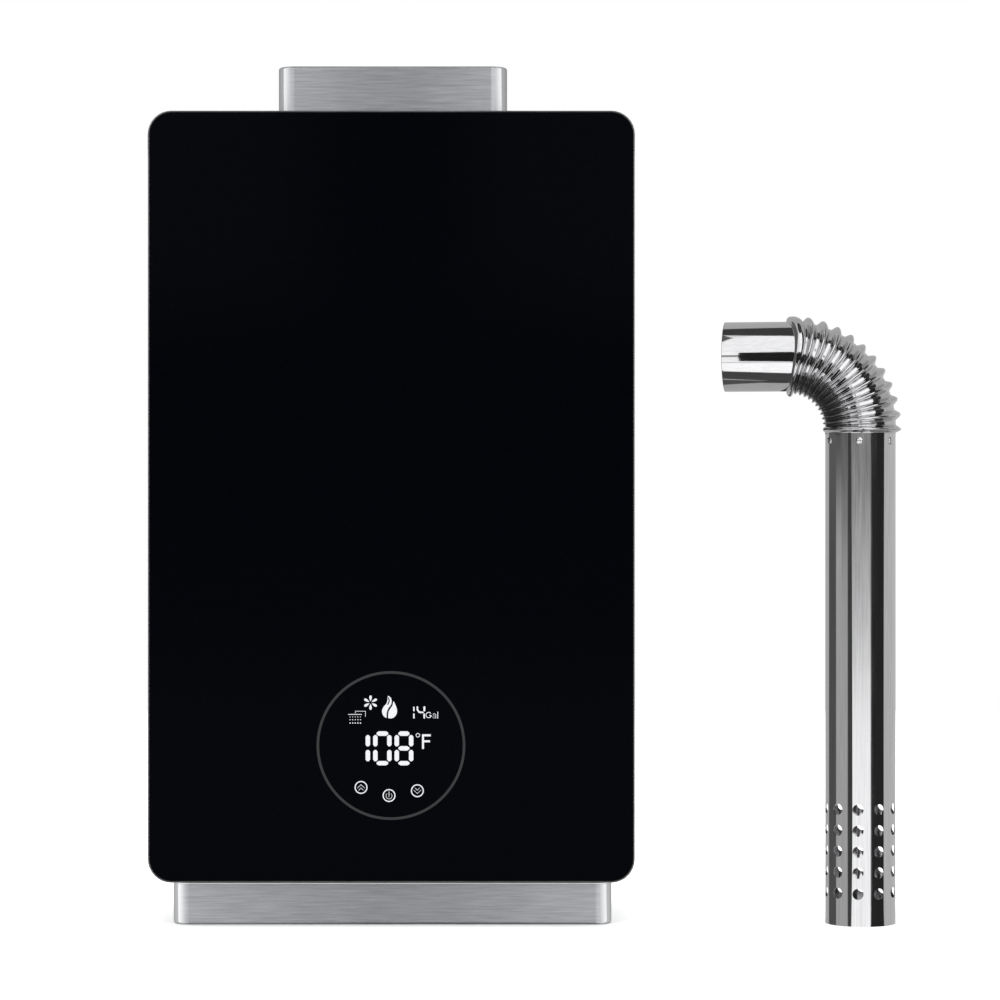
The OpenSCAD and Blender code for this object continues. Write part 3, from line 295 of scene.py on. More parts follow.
NODE_LOOKS = {
    "brushed_steel": ("skirt", "front_casing", "flue_cowl"),
    "rim_metal": ("bezel_frame",),
    "black_glass": ("glass_panel",),
    "polished_steel": ("flue_outlet", "flue_spigot", "flue_elbow", "flue_duct", "flue_neck", "flue_rivets"),
    "galvanised": ("bottom_plate", "back_plate", "top_plate", "exchanger_brackets", "fume_hood", "fan_volute",
                   "burner_box", "control_box"),
    "steel": ("cover_screws", "fan_shaft", "electrode_pins", "main_plunger", "modulating_plunger", "drain_stem",
              "touch_springs"),
    "dark_steel": ("burner_bars", "fan_motor"),
    "alloy": ("fan_impeller", "gas_manifold", "gas_valve", "gas_riser"),
    "copper": ("exchanger_shell", "exchanger_fins", "exchanger_tube", "coil_tube", "cold_pipe", "hot_pipe",
               "solenoid_coils"),
    "brass": ("gas_nozzles", "gas_inlet", "cold_inlet", "hot_outlet", "drain_valve", "lock_nuts"),
    "black_plastic": ("flow_sensor", "drain_knob", "ignition_module", "cable_gland", "inlet_filter"),
    "white_plastic": ("display_light_box", "pressure_switch", "overheat_cutoff", "flow_rotor"),
    "board_green": ("display_board", "control_board"),
    "rubber": ("flue_seal", "pressure_hose"),
    "ceramic": ("electrode_insulators",),
}


def set_material(thing, material):
    thing.data.materials.clear()
    thing.data.materials.append(material)


for look, names in NODE_LOOKS.items():
    for name in names:
        set_material(NODES[name], LOOKS[look])


# Mesh helpers
SHARP = math.radians(50.0)


def piece(name, points, faces, material, body, slot, smooth=True):
    """A mesh piece from points in millimetres, which rides on a body."""
    mesh = bpy.data.meshes.new(name)
    mesh.from_pydata([[c * MM for c in p] for p in points], [], faces)
    mesh.validate()
    mesh.update()
    for polygon in mesh.polygons:
        polygon.use_smooth = smooth
    if smooth:
        mesh.set_sharp_from_angle(angle=SHARP)
    made = bpy.data.objects.new(name, mesh)
    bpy.context.scene.collection.objects.link(made)
    mesh.materials.append(material)
    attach(made, body)
    return made


def strip_faces(rows, count, closed_rows=False):
    """Quads between rings of equal count that follow each other."""
    faces = []
    for j in range(rows if closed_rows else rows - 1):
        a, b = j * count, (j + 1) % rows * count
        faces += [(a + k, a + (k + 1) % count, b + (k + 1) % count, b + k) for k in range(count)]
    return faces


def revolve(profile, sides):
    """Points and faces of a profile of (radius, height) turned about an axis; a radius of 0 makes a point."""
    points, faces, before = [], [], None
    for r, h in profile:
        start = len(points)
        count = sides if r else 1
        points += [(r * math.cos(TURN * k / sides), r * math.sin(TURN * k / sides), h) for k in range(count)]
        row = [start + k % count for k in range(sides)]
        if before:
            quads = [(before[k], before[k - 1], row[k - 1], row[k]) for k in range(sides)]
            faces += [tuple(dict.fromkeys(quad)) for quad in quads]
        before = row
    return points, faces


def gather(parts):
    """One list of points and one of faces from several."""
    points, faces = [], []
    for more_points, more_faces in parts:
        start = len(points)
        points += more_points
        faces += [tuple(start + i for i in face) for face in more_faces]
    return points, faces


# Flue pipe
def flue_frame(along, across, up):
    """A point given along the short leg's direction, across it, and up, from the long leg's axis."""
    return (PIPE_X - along * math.cos(PIPE_YAW) + across * math.sin(PIPE_YAW),
            PIPE_Y + along * math.sin(PIPE_YAW) + across * math.cos(PIPE_YAW), up)


# The ribbed elbow slips over both legs by a little. Its first rib is a round bead, and the others are narrow ridges
# between smooth valleys, lower inside the bend. Their near sides lean towards the long leg
ARC = PIPE_BEND * TURN / 4
OVER_SHORT, OVER_LONG = 2.1, 5.0
BEAD_H = 3.8
RIB_LEAN = 7.8
INNER_RIB = 0.4
RIDGE_HALF, RIDGE_POWER = 0.36, 1.35
SLEEVE = 0.15
BORE_SLACK = 0.3


def bend_point(q, r, a):
    """A point at a distance along the bend's middle line, at a radius and an angle from the outer side."""
    outward, across = r * math.cos(a), r * math.sin(a)
    if q < 0:
        return flue_frame(PIPE_BEND - q, across, PIPE_LONG + PIPE_BEND + outward)
    if q > ARC:
        return flue_frame(-outward, across, PIPE_LONG + ARC - q)
    turn = TURN / 4 * (1 - q / ARC)
    reach = PIPE_BEND + outward
    return flue_frame(PIPE_BEND - reach * math.cos(turn), across, PIPE_LONG + reach * math.sin(turn))


def rib_start(a):
    return RIB_LEAN * max(0.0, -math.sin(a)) - OVER_SHORT


def rib_height(place, a):
    """Height of the ribs at a share of the way from the short leg to the long leg."""
    if not 0.0 < place < 1.0:
        return 0.0
    phase = place * RIB_COUNT % 1.0
    if place * RIB_COUNT < 1.0:
        return BEAD_H * (1 - (2 * phase - 1) ** 2) ** 0.5
    inner = 0.5 - 0.5 * math.cos(a)
    ridge = max(0.0, 1 - abs(phase - 0.5) / RIDGE_HALF)
    return RIB_H * (1 - (1 - INNER_RIB) * inner) * math.sin(ridge * math.pi / 2) ** RIDGE_POWER


def make_elbow():
    sides, steps, bore_rings = 224, 24, 25
    rings = RIB_COUNT * steps + 1
    bore_r = PIPE_R - PIPE_WALL - BORE_SLACK
    points = []

    def ring(place, ribbed):
        for k in range(sides):
            a = TURN * k / sides
            q = rib_start(a) + place * (ARC + OVER_LONG - rib_start(a))
            points.append(bend_point(q, PIPE_R + SLEEVE + rib_height(place, a) if ribbed else bore_r, a))

    for j in range(rings):
        ring(1 - j / (rings - 1), True)
    for j in range(bore_rings):
        ring(j / (bore_rings - 1), False)
    made = piece("ribbed_elbow", points, strip_faces(rings + bore_rings, sides, True), LOOKS["ribbed_steel"],
                 "flue_pipe", "polished_steel")
    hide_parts("flue_elbow")


def make_short_leg():
    """The plain leg, with a rounded cut edge, which ends under the elbow's bead."""
    sides, tuck, tuck_rings, lip_steps, before_bend = 128, 1.5, 7, 8, 0.4
    edge = PIPE_WALL / 2
    turns = [math.pi * k / lip_steps for k in range(lip_steps + 1)]
    lip = [(edge - edge * math.sin(t), PIPE_R - edge + edge * math.cos(t)) for t in turns]
    points = []

    def ring(q_of, r):
        points.extend(bend_point(q_of(TURN * k / sides), r, TURN * k / sides) for k in range(sides))

    def under_bead(share):
        """A place between the end under the bead and the start of the straight part."""
        def place(a):
            end = rib_start(a) + tuck
            return end + (min(0.0, end) - before_bend - end) * share
        return place

    for j in range(tuck_rings):
        ring(under_bead(j / (tuck_rings - 1)), PIPE_R)
    for inset_by, r in lip:
        ring(lambda a: inset_by - PIPE_SHORT, r)
    ring(under_bead(1.0), PIPE_R - PIPE_WALL)
    ring(under_bead(0.0), PIPE_R - PIPE_WALL)
    made = piece("short_leg", points, strip_faces(tuck_rings + len(lip) + 2, sides, True), LOOKS["short_leg_steel"],
                 "flue_pipe", "polished_steel")
    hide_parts("flue_spigot")


# Blind rivets below the elbow
RIVET_Z, RIVET_TURN, RIVET_COUNT = 351.0, 262.5, 6
RIVET_PROFILE = ((0.0, -0.7), (1.5, -0.7), (1.5, -0.2), (2.5, -0.2), (2.7, 0.1), (2.65, 0.4), (2.2, 0.75), (1.5, 0.95),
                 (0.95, 0.98), (0.85, 0.6), (0.0, 0.55))


def make_rivets():
    parts = []
    for i in range(RIVET_COUNT):
        a = math.radians(RIVET_TURN + 360.0 / RIVET_COUNT * i)
        points, faces = revolve(RIVET_PROFILE, 28)
        parts.append(([(PIPE_X + (PIPE_R + h) * math.cos(a) - u * math.sin(a),
                        PIPE_Y + (PIPE_R + h) * math.sin(a) + u * math.cos(a), RIVET_Z + v)
                       for u, v, h in points], faces))
    made = piece("rivet_heads", *gather(parts), LOOKS["polished_steel"], "flue_pipe", "polished_steel")
    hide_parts("flue_rivets")


make_elbow()
make_short_leg()
make_rivets()


# Cover screws: pan heads with a cross recess
CASING_X = 159.5
SCREW_Y, SCREW_ZS = 67.8, (83.6, 530.5)
SCREW_PROFILE = ((0.0, -9.0), (1.9, -9.0), (1.9, 0.0), (4.0, 0.0), (4.0, 0.6), (3.8, 1.2), (3.3, 1.75), (2.7, 2.05),
                 (2.2, 2.15))
CROSS_HALF, CROSS_REACH, CROSS_DEPTH, CROSS_TAPER, ARM_TAPER = 0.42, 1.75, 1.2, 0.7, 0.8


def cross_loop(scale):
    half, reach = CROSS_HALF * scale, CROSS_REACH * scale
    arm = [(half, half), (reach, half * ARM_TAPER), (reach, -half * ARM_TAPER)]
    return [(x * math.cos(t) - y * math.sin(t), x * math.sin(t) + y * math.cos(t))
            for t in (-TURN / 4 * k for k in range(4)) for x, y in arm]


def screw_shape():
    """One screw, with its head's seat at 0 and its axis along the third coordinate."""
    sides, top = 32, SCREW_PROFILE[-1][1]
    points, faces = revolve(SCREW_PROFILE, sides)
    rim = list(range(len(points) - sides, len(points)))
    loops = [[(x, y, h) for x, y in cross_loop(scale)] for scale, h in ((1.0, top), (CROSS_TAPER, top - CROSS_DEPTH))]
    corners = len(loops[0])
    mouth = list(range(len(points), len(points) + corners))
    pit = [i + corners for i in mouth]
    points += loops[0] + loops[1]
    flat = [[Vector((*points[i][:2], 0.0)) for i in ids] for ids in (rim, mouth)]
    order = rim + mouth
    faces += [tuple(order[i] for i in tri) for tri in tessellate_polygon(flat)]
    faces += [(mouth[k], mouth[k - 1], pit[k - 1], pit[k]) for k in range(corners)]
    faces += [tuple(pit[i] for i in tri)
              for tri in tessellate_polygon([[Vector((*points[i][:2], 0.0)) for i in pit]])]
    return points, faces


def make_cover_screws():
    parts = []
    for side in (-1, 1):
        for z in SCREW_ZS:
            points, faces = screw_shape()
            parts.append(([(side * (CASING_X + h), SCREW_Y + side * u, z + v) for u, v, h in points], faces))
    made = piece("cross_head_screws", *gather(parts), LOOKS["steel"], "front_cover", "steel")
    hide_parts("cover_screws")


# Pressed hoods over the louvres on the casing's sides
LOUVRE_Z, LOUVRE_PITCH, LOUVRE_COUNT = 123.6, 12.0, 9
LOUVRE_Y, LOUVRE_L, LOUVRE_H = 20.0, 52.0, 4.0
HOOD_OUT, HOOD_OVER, HOOD_T = 2.4, 2.2, 0.6
HOOD_LONGER, HOOD_SUNK = 3.0, 0.3
# Share of the slot that a hood hangs over, how steeply its ends run out, and how high they sit
HOOD_COVER, HOOD_RUN_OUT, HOOD_END_DROP = 0.75, 2.2, 0.35


def hood_shape(side, z):
    """A hood that starts flush above its slot, swells towards its open lower lip, and runs out at both ends."""
    columns, rows = 33, 7
    points = []
    for layer in (1.0, 0.0):
        for j in range(rows):
            down = j / (rows - 1)
            for k in range(columns):
                s = k / (columns - 1)
                swell = min(1.0, math.sin(math.pi * s) * HOOD_RUN_OUT) ** 0.6
                out = HOOD_OUT * swell * math.sin(down * math.pi / 2) ** 0.9
                top = z + LOUVRE_H + HOOD_OVER
                drop = (LOUVRE_H * HOOD_COVER + HOOD_OVER) * down * (HOOD_END_DROP + (1 - HOOD_END_DROP) * swell)
                points.append((side * (CASING_X - HOOD_SUNK + out + layer * HOOD_T),
                               LOUVRE_Y + (s - 0.5) * (LOUVRE_L + HOOD_LONGER), top - drop))
    size = rows * columns
    faces = []
    for j in range(rows - 1):
        for k in range(columns - 1):
            a = j * columns + k
            faces.append((a, a + 1, a + columns + 1, a + columns))
            faces.append((size + a, size + a + columns, size + a + columns + 1, size + a + 1))
    rim = ([k for k in range(columns)] + [j * columns + columns - 1 for j in range(1, rows)]
           + [(rows - 1) * columns + k for k in range(columns - 2, -1, -1)]
           + [j * columns for j in range(rows - 2, 0, -1)])
    faces += [(rim[k], rim[k - 1], size + rim[k - 1], size + rim[k]) for k in range(len(rim))]
    return points, (faces if side > 0 else [face[::-1] for face in faces])


def make_hoods():
    parts = [hood_shape(side, LOUVRE_Z + LOUVRE_PITCH * i) for side in (-1, 1) for i in range(LOUVRE_COUNT)]
    piece("louvre_hoods", *gather(parts), LOOKS["brushed_steel"], "front_cover", "brushed_steel")


# A hem along the skirt's top, just under the glass panel. It is a real bead, but its steel is given a much lighter
# colour than the skirt's: a painted highlight that makes the bright line along it
HEM_Z, HEM_R, HEM_Y = 30.2, 0.85, -57.0
SKIRT_HALF, SKIRT_EDGE_R, SKIRT_BACK = 159.5, 12.0, 73.0


def make_hem():
    sides, steps = 12, 16
    path = [(-SKIRT_HALF, SKIRT_BACK)]
    for side in (-1, 1):
        for k in range(steps + 1):
            t = math.radians(90.0 * k / steps if side < 0 else 90.0 - 90.0 * k / steps)
            path.append((side * (SKIRT_HALF - SKIRT_EDGE_R + SKIRT_EDGE_R * math.cos(t)),
                         HEM_Y + SKIRT_EDGE_R - SKIRT_EDGE_R * math.sin(t)))
    path.append((SKIRT_HALF, SKIRT_BACK))
    points = []
    for i, (x, y) in enumerate(path):
        before, after = path[max(i - 1, 0)], path[min(i + 1, len(path) - 1)]
        way = Vector((after[0] - before[0], after[1] - before[1])).normalized()
        for k in range(sides):
            a = TURN * k / sides
            points.append((x + way.y * HEM_R * math.cos(a), y - way.x * HEM_R * math.cos(a),
                           HEM_Z + HEM_R * math.sin(a)))
    faces = strip_faces(len(path), sides)
    faces += [tuple(range(sides))[::-1], tuple(range(len(points) - sides, len(points)))]
    piece("skirt_hem", points, faces, LOOKS["hem_steel_painted_bright"], "chassis", "brushed_steel")


make_cover_screws()
make_hoods()
make_hem()


# Softened edges on the solids that the hand or the eye meets first
WELD_WITHIN = 0.00001
BEVEL_FROM, SMOOTH_UP_TO = math.radians(40.0), math.radians(30.0)


def weld(node):
    NODES[node].modifiers.new("weld", "WELD").merge_threshold = WELD_WITHIN


def soften(node, width, segments):
    weld(node)
    edge = NODES[node].modifiers.new("soft_edge", "BEVEL")
    edge.width = width * MM
    edge.segments = segments
    edge.limit_method = "ANGLE"
    edge.angle_limit = BEVEL_FROM
    edge.harden_normals = True


def make_shading():
    """A node group that shades faces smoothly up to an edge angle."""
    tree = bpy.data.node_groups.new("smooth_shading", "GeometryNodeTree")
    for way in ("INPUT", "OUTPUT"):
        tree.interface.new_socket("Geometry", in_out=way, socket_type="NodeSocketGeometry")
    angle = add(tree, "GeometryNodeInputMeshEdgeAngle").outputs["Unsigned Angle"]
    sharp = math_node(tree, "GREATER_THAN", angle, SMOOTH_UP_TO)
    came = tree.nodes.new("NodeGroupInput").outputs[0]
    shaded = add(tree, "GeometryNodeSetMeshNormal", {"mode": "SHARPNESS"},
                 {"Mesh": came, "Remove Custom": True, "Edge Sharpness": sharp, "Face Sharpness": False})
    tree.links.new(shaded.outputs[0], tree.nodes.new("NodeGroupOutput").inputs[0])
    return tree


def smooth_rounds(node, shading):
    """Smooth shading round a sheet's edges, with its flat faces left flat."""
    weld(node)
    NODES[node].modifiers.new("shading", "NODES").node_group = shading
    flats = NODES[node].modifiers.new("flat_faces", "WEIGHTED_NORMAL")
    flats.weight = 100
    flats.keep_sharp = True


SHADING = make_shading()
for node in ("skirt", "flue_cowl", "front_casing"):
    smooth_rounds(node, SHADING)
for node, width in (("bezel_frame", 0.45), ("glass_panel", 0.3), ("lock_nuts", 0.5)):
    soften(node, width, 2)


# Display marks, in pixels of the photograph; they are drawn in by the width of their glow.
# As plates they stand a little before the glass and start a little inside it, in millimetres
GLOW = 0.36
MARK_OUT, MARK_IN = 0.05, 0.01
BAR_TIP, BAR_END = 1.8, 0.38


def dot(x, y, r, count=24):
    return [(x + r * math.cos(TURN * k / count), y + r * math.sin(TURN * k / count)) for k in range(count)]


def stroke(path, width):
    """The outline of an open line with round ends."""
    path = [Vector(p) for p in path]
    half = width / 2
    left, right = [], []
    for i, p in enumerate(path):
        before = (p - path[i - 1]).normalized() if i else None
        after = (path[i + 1] - p).normalized() if i < len(path) - 1 else None
        ways = [w for w in (before, after) if w]
        normals = [Vector((-w.y, w.x)) for w in ways]
        side = sum(normals, Vector((0.0, 0.0))).normalized()
        side *= half / max(side.dot(normals[0]), 0.4)
        left.append(p + side)
        right.append(p - side)

    def cap(centre, way):
        start = math.atan2(way.x, -way.y)
        return [centre + half * Vector((math.cos(start - math.pi * k / 8), math.sin(start - math.pi * k / 8)))
                for k in range(1, 8)]

    first, last = (path[1] - path[0]).normalized(), (path[-1] - path[-2]).normalized()
    return [tuple(p) for p in left + cap(path[-1], last) + right[::-1] + cap(path[0], -first)]


def bar(x0, y0, x1, y1, tip=BAR_TIP):
    """A display segment: a slim bar with tapered ends, along its longer side."""
    cx, cy = (x0 + x1) / 2, (y0 + y1) / 2
    if x1 - x0 > y1 - y0:
        half = (y1 - y0) / 2 * BAR_END
        return [(x0, cy - half), (x0 + tip, y0), (x1 - tip, y0), (x1, cy - half),
                (x1, cy + half), (x1 - tip, y1), (x0 + tip, y1), (x0, cy + half)]
    half = (x1 - x0) / 2 * BAR_END
    return [(cx - half, y0), (cx + half, y0), (x1, y0 + tip), (x1, y1 - tip),
            (cx + half, y1), (cx - half, y1), (x0, y1 - tip), (x0, y0 + tip)]


def inset(loop, by):
    """A loop drawn in by a distance; a hole, given as a negative distance, is drawn out."""
    area = sum(a[0] * b[1] - b[0] * a[1] for a, b in zip(loop, loop[1:] + loop[:1]))
    by = math.copysign(by, area) if by > 0 else -math.copysign(by, area)
    out = []
    for k, p in enumerate(loop):
        before = (Vector(p) - Vector(loop[k - 1])).normalized()
        after = (Vector(loop[(k + 1) % len(loop)]) - Vector(p)).normalized()
        side = Vector((-before.y - after.y, before.x + after.x)).normalized()
        side *= by / max(side.dot(Vector((-before.y, before.x))), 0.5)
        out.append((p[0] + side.x, p[1] + side.y))
    return out


def make_marks(name, shapes, material):
    """Thin plates on the glass. A shape is an outline, and the holes in it."""
    points, faces = [], []
    for loops in shapes:
        loops = [inset(loop, -GLOW if k else GLOW) for k, loop in enumerate(loops)]
        flat = [[Vector(((x - PANEL_MID_PX) * PX, DISPLAY_Z + (DISPLAY_MID_PX - y) * PX, 0.0)) for x, y in loop]
                for loop in loops]
        start = len(points)
        everything = [p for loop in flat for p in loop]
        count = len(everything)
        points += [(p.x, GLASS_Y - MARK_OUT, p.y) for p in everything]
        points += [(p.x, GLASS_Y + MARK_IN, p.y) for p in everything]
        for a, b, c in tessellate_polygon(flat):
            faces.append((start + a, start + b, start + c))
        at = start
        for loop in flat:
            n = len(loop)
            faces += [(at + k, at + (k + 1) % n, at + count + (k + 1) % n, at + count + k) for k in range(n)]
            at += n
    piece(name, points, faces, material, "front_cover", "white_plastic", smooth=False)


def petal(x, y, turn, near, far, wide):
    """A drop-shaped petal that points away from a centre."""
    count, slim, fuller = 20, 0.35, 1.15
    out = []
    for k in range(count):
        a = TURN * k / count
        outward = (1 - math.cos(a)) / 2
        along = near + (far - near) * outward
        swell = wide / 2 * math.sin(a) * (slim + (1 - slim) * outward) * fuller
        out.append((x + along * math.cos(turn) - swell * math.sin(turn),
                    y + along * math.sin(turn) + swell * math.cos(turn)))
    return out


def arc(x, y, r, a0, a1, count=24):
    """Points of an arc; angles in degrees, clockwise from the right as seen in the picture."""
    return [(x + r * math.cos(math.radians(a0 + (a1 - a0) * k / count)),
             y + r * math.sin(math.radians(a0 + (a1 - a0) * k / count))) for k in range(count + 1)]


# The reading: upright bars from left to right, the two rows in which they stand, and the level bars of its two
# round digits
UPRIGHTS = ((365.3, 370.5), (372.8, 378.0), (386.8, 392.0), (394.2, 399.4), (408.6, 413.8))
UPRIGHT_ROWS = ((734.7, 746.7), (749.6, 761.6))
HEAD_ROW, MIDDLE_ROW, FOOT_ROW = (730.9, 736.2), (745.7, 750.9), (760.6, 765.7)
LEVELS = (((376.3, 388.6), (HEAD_ROW, FOOT_ROW)), ((398.1, 409.9), (HEAD_ROW, MIDDLE_ROW, FOOT_ROW)))
LEVEL_TIP = 2.4
# Its unit: a ring, and a letter with its stem, its arms from the top, and their ends
DEGREE_AT, DEGREE_RS = (417.9, 735.2), (2.5, 1.1)
STEM, ARM_ENDS, LETTER_FOOT = (421.7, 424.4), (431.1, 430.4), 749.2
ARM_ROWS = ((733.9, 736.7), (739.9, 742.6))
# The small count: its upright bars, each with its tip, the hook of its second digit, and its unit's letters
COUNT_BARS = (((412.9, 706.2, 415.0, 711.6), 0.7), ((412.9, 712.9, 415.0, 718.9), 0.7),
              ((423.1, 705.9, 425.7, 711.7), 0.8), ((423.1, 713.0, 425.4, 718.9), 0.8))
COUNT_HOOK, COUNT_HOOK_W = ((417.4, 707.0), (417.5, 709.9), (419.3, 712.2), (423.0, 712.4)), 2.3
CAPITAL_ARC, CAPITAL_BAR, CAPITAL_W = (428.8, 715.0, 2.7, -40, -345), (429.6, 715.2), 1.45
BOWL_AT, BOWL_RS = (434.1, 716.9), (1.75, 0.75)
BOWL_HOOK, BOWL_HOOK_W = ((433.0, 714.2), (434.5, 713.6), (435.9, 714.6), (435.9, 718.2)), 1.2
LAST_STEM, LAST_STEM_W = ((437.8, 711.9), (437.8, 718.3)), 1.4


def letter_outline():
    (x0, x1), (far, short) = STEM, ARM_ENDS
    (top, top_under), (arm, arm_under) = ARM_ROWS
    return [(x0, top), (far, top), (far, top_under), (x1, top_under), (x1, arm),
            (short, arm), (short, arm_under), (x1, arm_under), (x1, LETTER_FOOT), (x0, LETTER_FOOT)]


def digit_shapes():
    shapes = [[bar(x0, y0, x1, y1)] for x0, x1 in UPRIGHTS for y0, y1 in UPRIGHT_ROWS]
    shapes += [[bar(x0, y0, x1, y1, LEVEL_TIP)] for (x0, x1), rows in LEVELS for y0, y1 in rows]
    shapes.append([dot(*DEGREE_AT, r) for r in DEGREE_RS])
    shapes.append([letter_outline()])
    shapes += [[bar(*box, tip)] for box, tip in COUNT_BARS]
    shapes.append([stroke(COUNT_HOOK, COUNT_HOOK_W)])
    shapes.append([stroke(arc(*CAPITAL_ARC) + [CAPITAL_BAR], CAPITAL_W)])
    shapes.append([dot(*BOWL_AT, r) for r in BOWL_RS])
    shapes.append([stroke(BOWL_HOOK, BOWL_HOOK_W)])
    shapes.append([stroke(LAST_STEM, LAST_STEM_W)])
    return shapes


# Signs: a flower of petals (near end, far end, width), and a shower's tray, its pipe and its rows of drops
FLOWER_AT, PETALS, PETAL = (370.6, 702.6), 6, (0.9, 7.6, 3.9)
TRAY, TRAY_W = ((348.6, 714.4), (361.7, 714.4)), 1.35
SHOWER_PIPE, SHOWER_PIPE_W = ((355.4, 713.2), (355.4, 711.2), (365.5, 711.2), (365.5, 716.5)), 1.15
DROP_X, DROP_PITCH, DROPS = 350.1, 2.6, 5
DROP_ROWS = ((716.9, 0.78), (719.7, 0.88), (723.0, 1.02))


def icon_shapes():
    shapes = [[petal(*FLOWER_AT, math.radians(360 / PETALS * k - 90), *PETAL)] for k in range(PETALS)]
    shapes.append([stroke(TRAY, TRAY_W)])
    shapes.append([stroke(SHOWER_PIPE, SHOWER_PIPE_W)])
    for y, r in DROP_ROWS:
        shapes += [[dot(DROP_X + DROP_PITCH * k, y, r, 12)] for k in range(DROPS)]
    return shapes + flame_shapes()


# The flame, on the grid of an enlarged crop: its corner pixel, and its points per pixel
FLAME_CORNER, FLAME_GRID = (340.0, 688.0), 15.37
FLAME_LEFT = ((737, 112), (764, 125), (788, 150), (800, 182), (801, 215), (790, 262), (754, 306), (732, 348),
              (721, 400), (723, 468), (690, 455), (661, 428), (645, 392), (640, 355), (650, 313), (673, 276),
              (703, 246), (720, 213), (726, 170), (727, 138))
FLAME_RIGHT = ((812, 196), (826, 198), (847, 230), (864, 270), (880, 318), (885, 355), (877, 397), (857, 433),
               (827, 461), (790, 473), (740, 470), (736, 452), (735, 402), (745, 354), (768, 315), (802, 268),
               (813, 218))
FLAME_SPLIT, FLAME_SPLIT_W = ((745, 150), (757, 190), (753, 217), (735, 250)), 0.4


def flame_shapes():
    def place(loop):
        return [tuple(c + v / FLAME_GRID for c, v in zip(FLAME_CORNER, p)) for p in loop]

    return [[place(FLAME_LEFT), stroke(place(FLAME_SPLIT), FLAME_SPLIT_W)], [place(FLAME_RIGHT)]]


# Touch keys: rings with two chevrons (half width, tip, ends) or a power sign; and the ring round the display
KEYS = {"up": (361.1, 787.4), "power": (389.1, 795.5), "down": (417.4, 790.7)}
KEY_RS, KEY_SIDES = (6.8, 5.0), 48
CHEVRONS, CHEVRON_W = ((3.6, -2.8, 0.6), (2.2, 0.5, 2.7)), 1.15
POWER_ARC, POWER_DOWN, POWER_W = (3.0, -50, 230), 0.4, 1.15
POWER_LINE, POWER_LINE_W = (-3.9, 1.3), 1.25
RING_AT, RING_RS, RING_SIDES = (391.0, 745.5), (74.75, 71.45), 180


def key_shapes():
    shapes = [[dot(x, y, r, KEY_SIDES) for r in KEY_RS] for x, y in KEYS.values()]
    for name, way in (("up", 1), ("down", -1)):
        x, y = KEYS[name]
        for half, tip, ends in CHEVRONS:
            shapes.append([stroke([(x - half, y + way * ends), (x, y + way * tip), (x + half, y + way * ends)],
                                  CHEVRON_W)])
    x, y = KEYS["power"]
    shapes.append([stroke(arc(x, y + POWER_DOWN, *POWER_ARC), POWER_W)])
    shapes.append([stroke([(x, y + end) for end in POWER_LINE], POWER_LINE_W)])
    return shapes


make_marks("display_digits", digit_shapes(), LIT_WHITE)
make_marks("display_icons", icon_shapes(), LIT_WHITE)
make_marks("touch_key_marks", key_shapes(), LIT_WHITE)
make_marks("display_ring", [[dot(*RING_AT, r, RING_SIDES) for r in RING_RS]], RING_GREY)


# Studio
def studio_patch(tree, level, azimuth, elevation, a, e, value, soft):
    """A soft-edged panel of the studio, given by its range of azimuth and elevation in degrees."""
    mask = math_node(tree, "MULTIPLY", span(tree, azimuth, a[0] - soft, a[0] + soft, smooth=True),
                     span(tree, azimuth, a[1] + soft, a[1] - soft, smooth=True))
    mask = math_node(tree, "MULTIPLY", mask, span(tree, elevation, e[0] - soft, e[0] + soft, smooth=True))
    mask = math_node(tree, "MULTIPLY", mask, span(tree, elevation, e[1] + soft, e[1] - soft, smooth=True))
    return add(tree, "ShaderNodeMix", {"data_type": "FLOAT"}, {0: mask, 2: level, 3: value}).outputs[0]


# Panels: azimuth from the front towards the right, elevation, brightness, softness of the edges.
# A later panel lies over those before it. Those on SIDE are the pipe's stripes; the next give the elbow and the short
# leg their light and dark; then come the front's, with a dark slit above for the cowl and one below for the skirt, so
# that both darken towards their middle; the last are the ceiling and the ground
SIDE, TOP, LOW = (-19.0, 14.0), (15.0, 70.0), (-62.0, -21.0)
STUDIO_PANELS = (
    ((-131.0, -88.6), SIDE, 0.10, 1.5),
    ((-88.6, -48.0), SIDE, 0.15, 1.5),
    ((-88.6, -48.0), (-19.0, -0.5), 0.48, 1.5),
    ((-48.0, -35.5), SIDE, 0.06, 1.5),
    ((-35.5, 28.0), SIDE, 0.24, 1.5),
    ((-35.5, 28.0), (-19.0, -0.3), 0.6, 1.3),
    ((-35.5, 28.0), (-19.0, -2.8), 1.3, 1.3),
    ((28.0, 79.7), SIDE, 0.025, 1.5),
    ((79.7, 159.0), SIDE, 0.62, 1.5),
    ((-130.0, -36.0), TOP, 1.0, 4.0),
    ((-130.0, -36.0), LOW, 1.0, 4.0),
    ((48.0, 84.0), (4.0, 70.0), 0.04, 1.5),
    ((36.0, 130.0), LOW, 0.3, 1.5),
    ((-40.0, 40.0), TOP, 1.28, 1.5),
    ((-40.0, 40.0), LOW, 1.42, 1.5),
    ((-11.0, 8.0), LOW, 0.95, 1.5),
    ((-35.5, 28.0), (3.5, 15.0), 1.35, 1.5),
    ((2.5, 48.0), (4.0, 70.0), 1.5, 1.5),
    ((-11.0, -4.2), (3.5, 70.0), 1.52, 1.8),
    ((0.8, 9.0), (3.5, 70.0), 1.52, 1.8),
    ((-3.0, -0.7), (3.5, 70.0), 0.14, 1.3),
    ((-4.6, 1.0), (-62.0, -9.0), 0.08, 2.5),
    ((-182.0, 182.0), (70.0, 95.0), 0.06, 1.5),
    ((-182.0, 182.0), (-95.0, -62.0), 0.07, 1.5),
    ((-182.0, -90.0), (-78.0, -60.0), 0.5, 1.5),
    ((90.0, 182.0), (-78.0, -60.0), 0.5, 1.5),
)
# The room between the panels: its tone over a range of elevation, and its light on matt surfaces
ROOM_RANGE, ROOM_TONES, ROOM_LIGHT = (-30.0, 40.0), (0.5, 0.54), 0.7
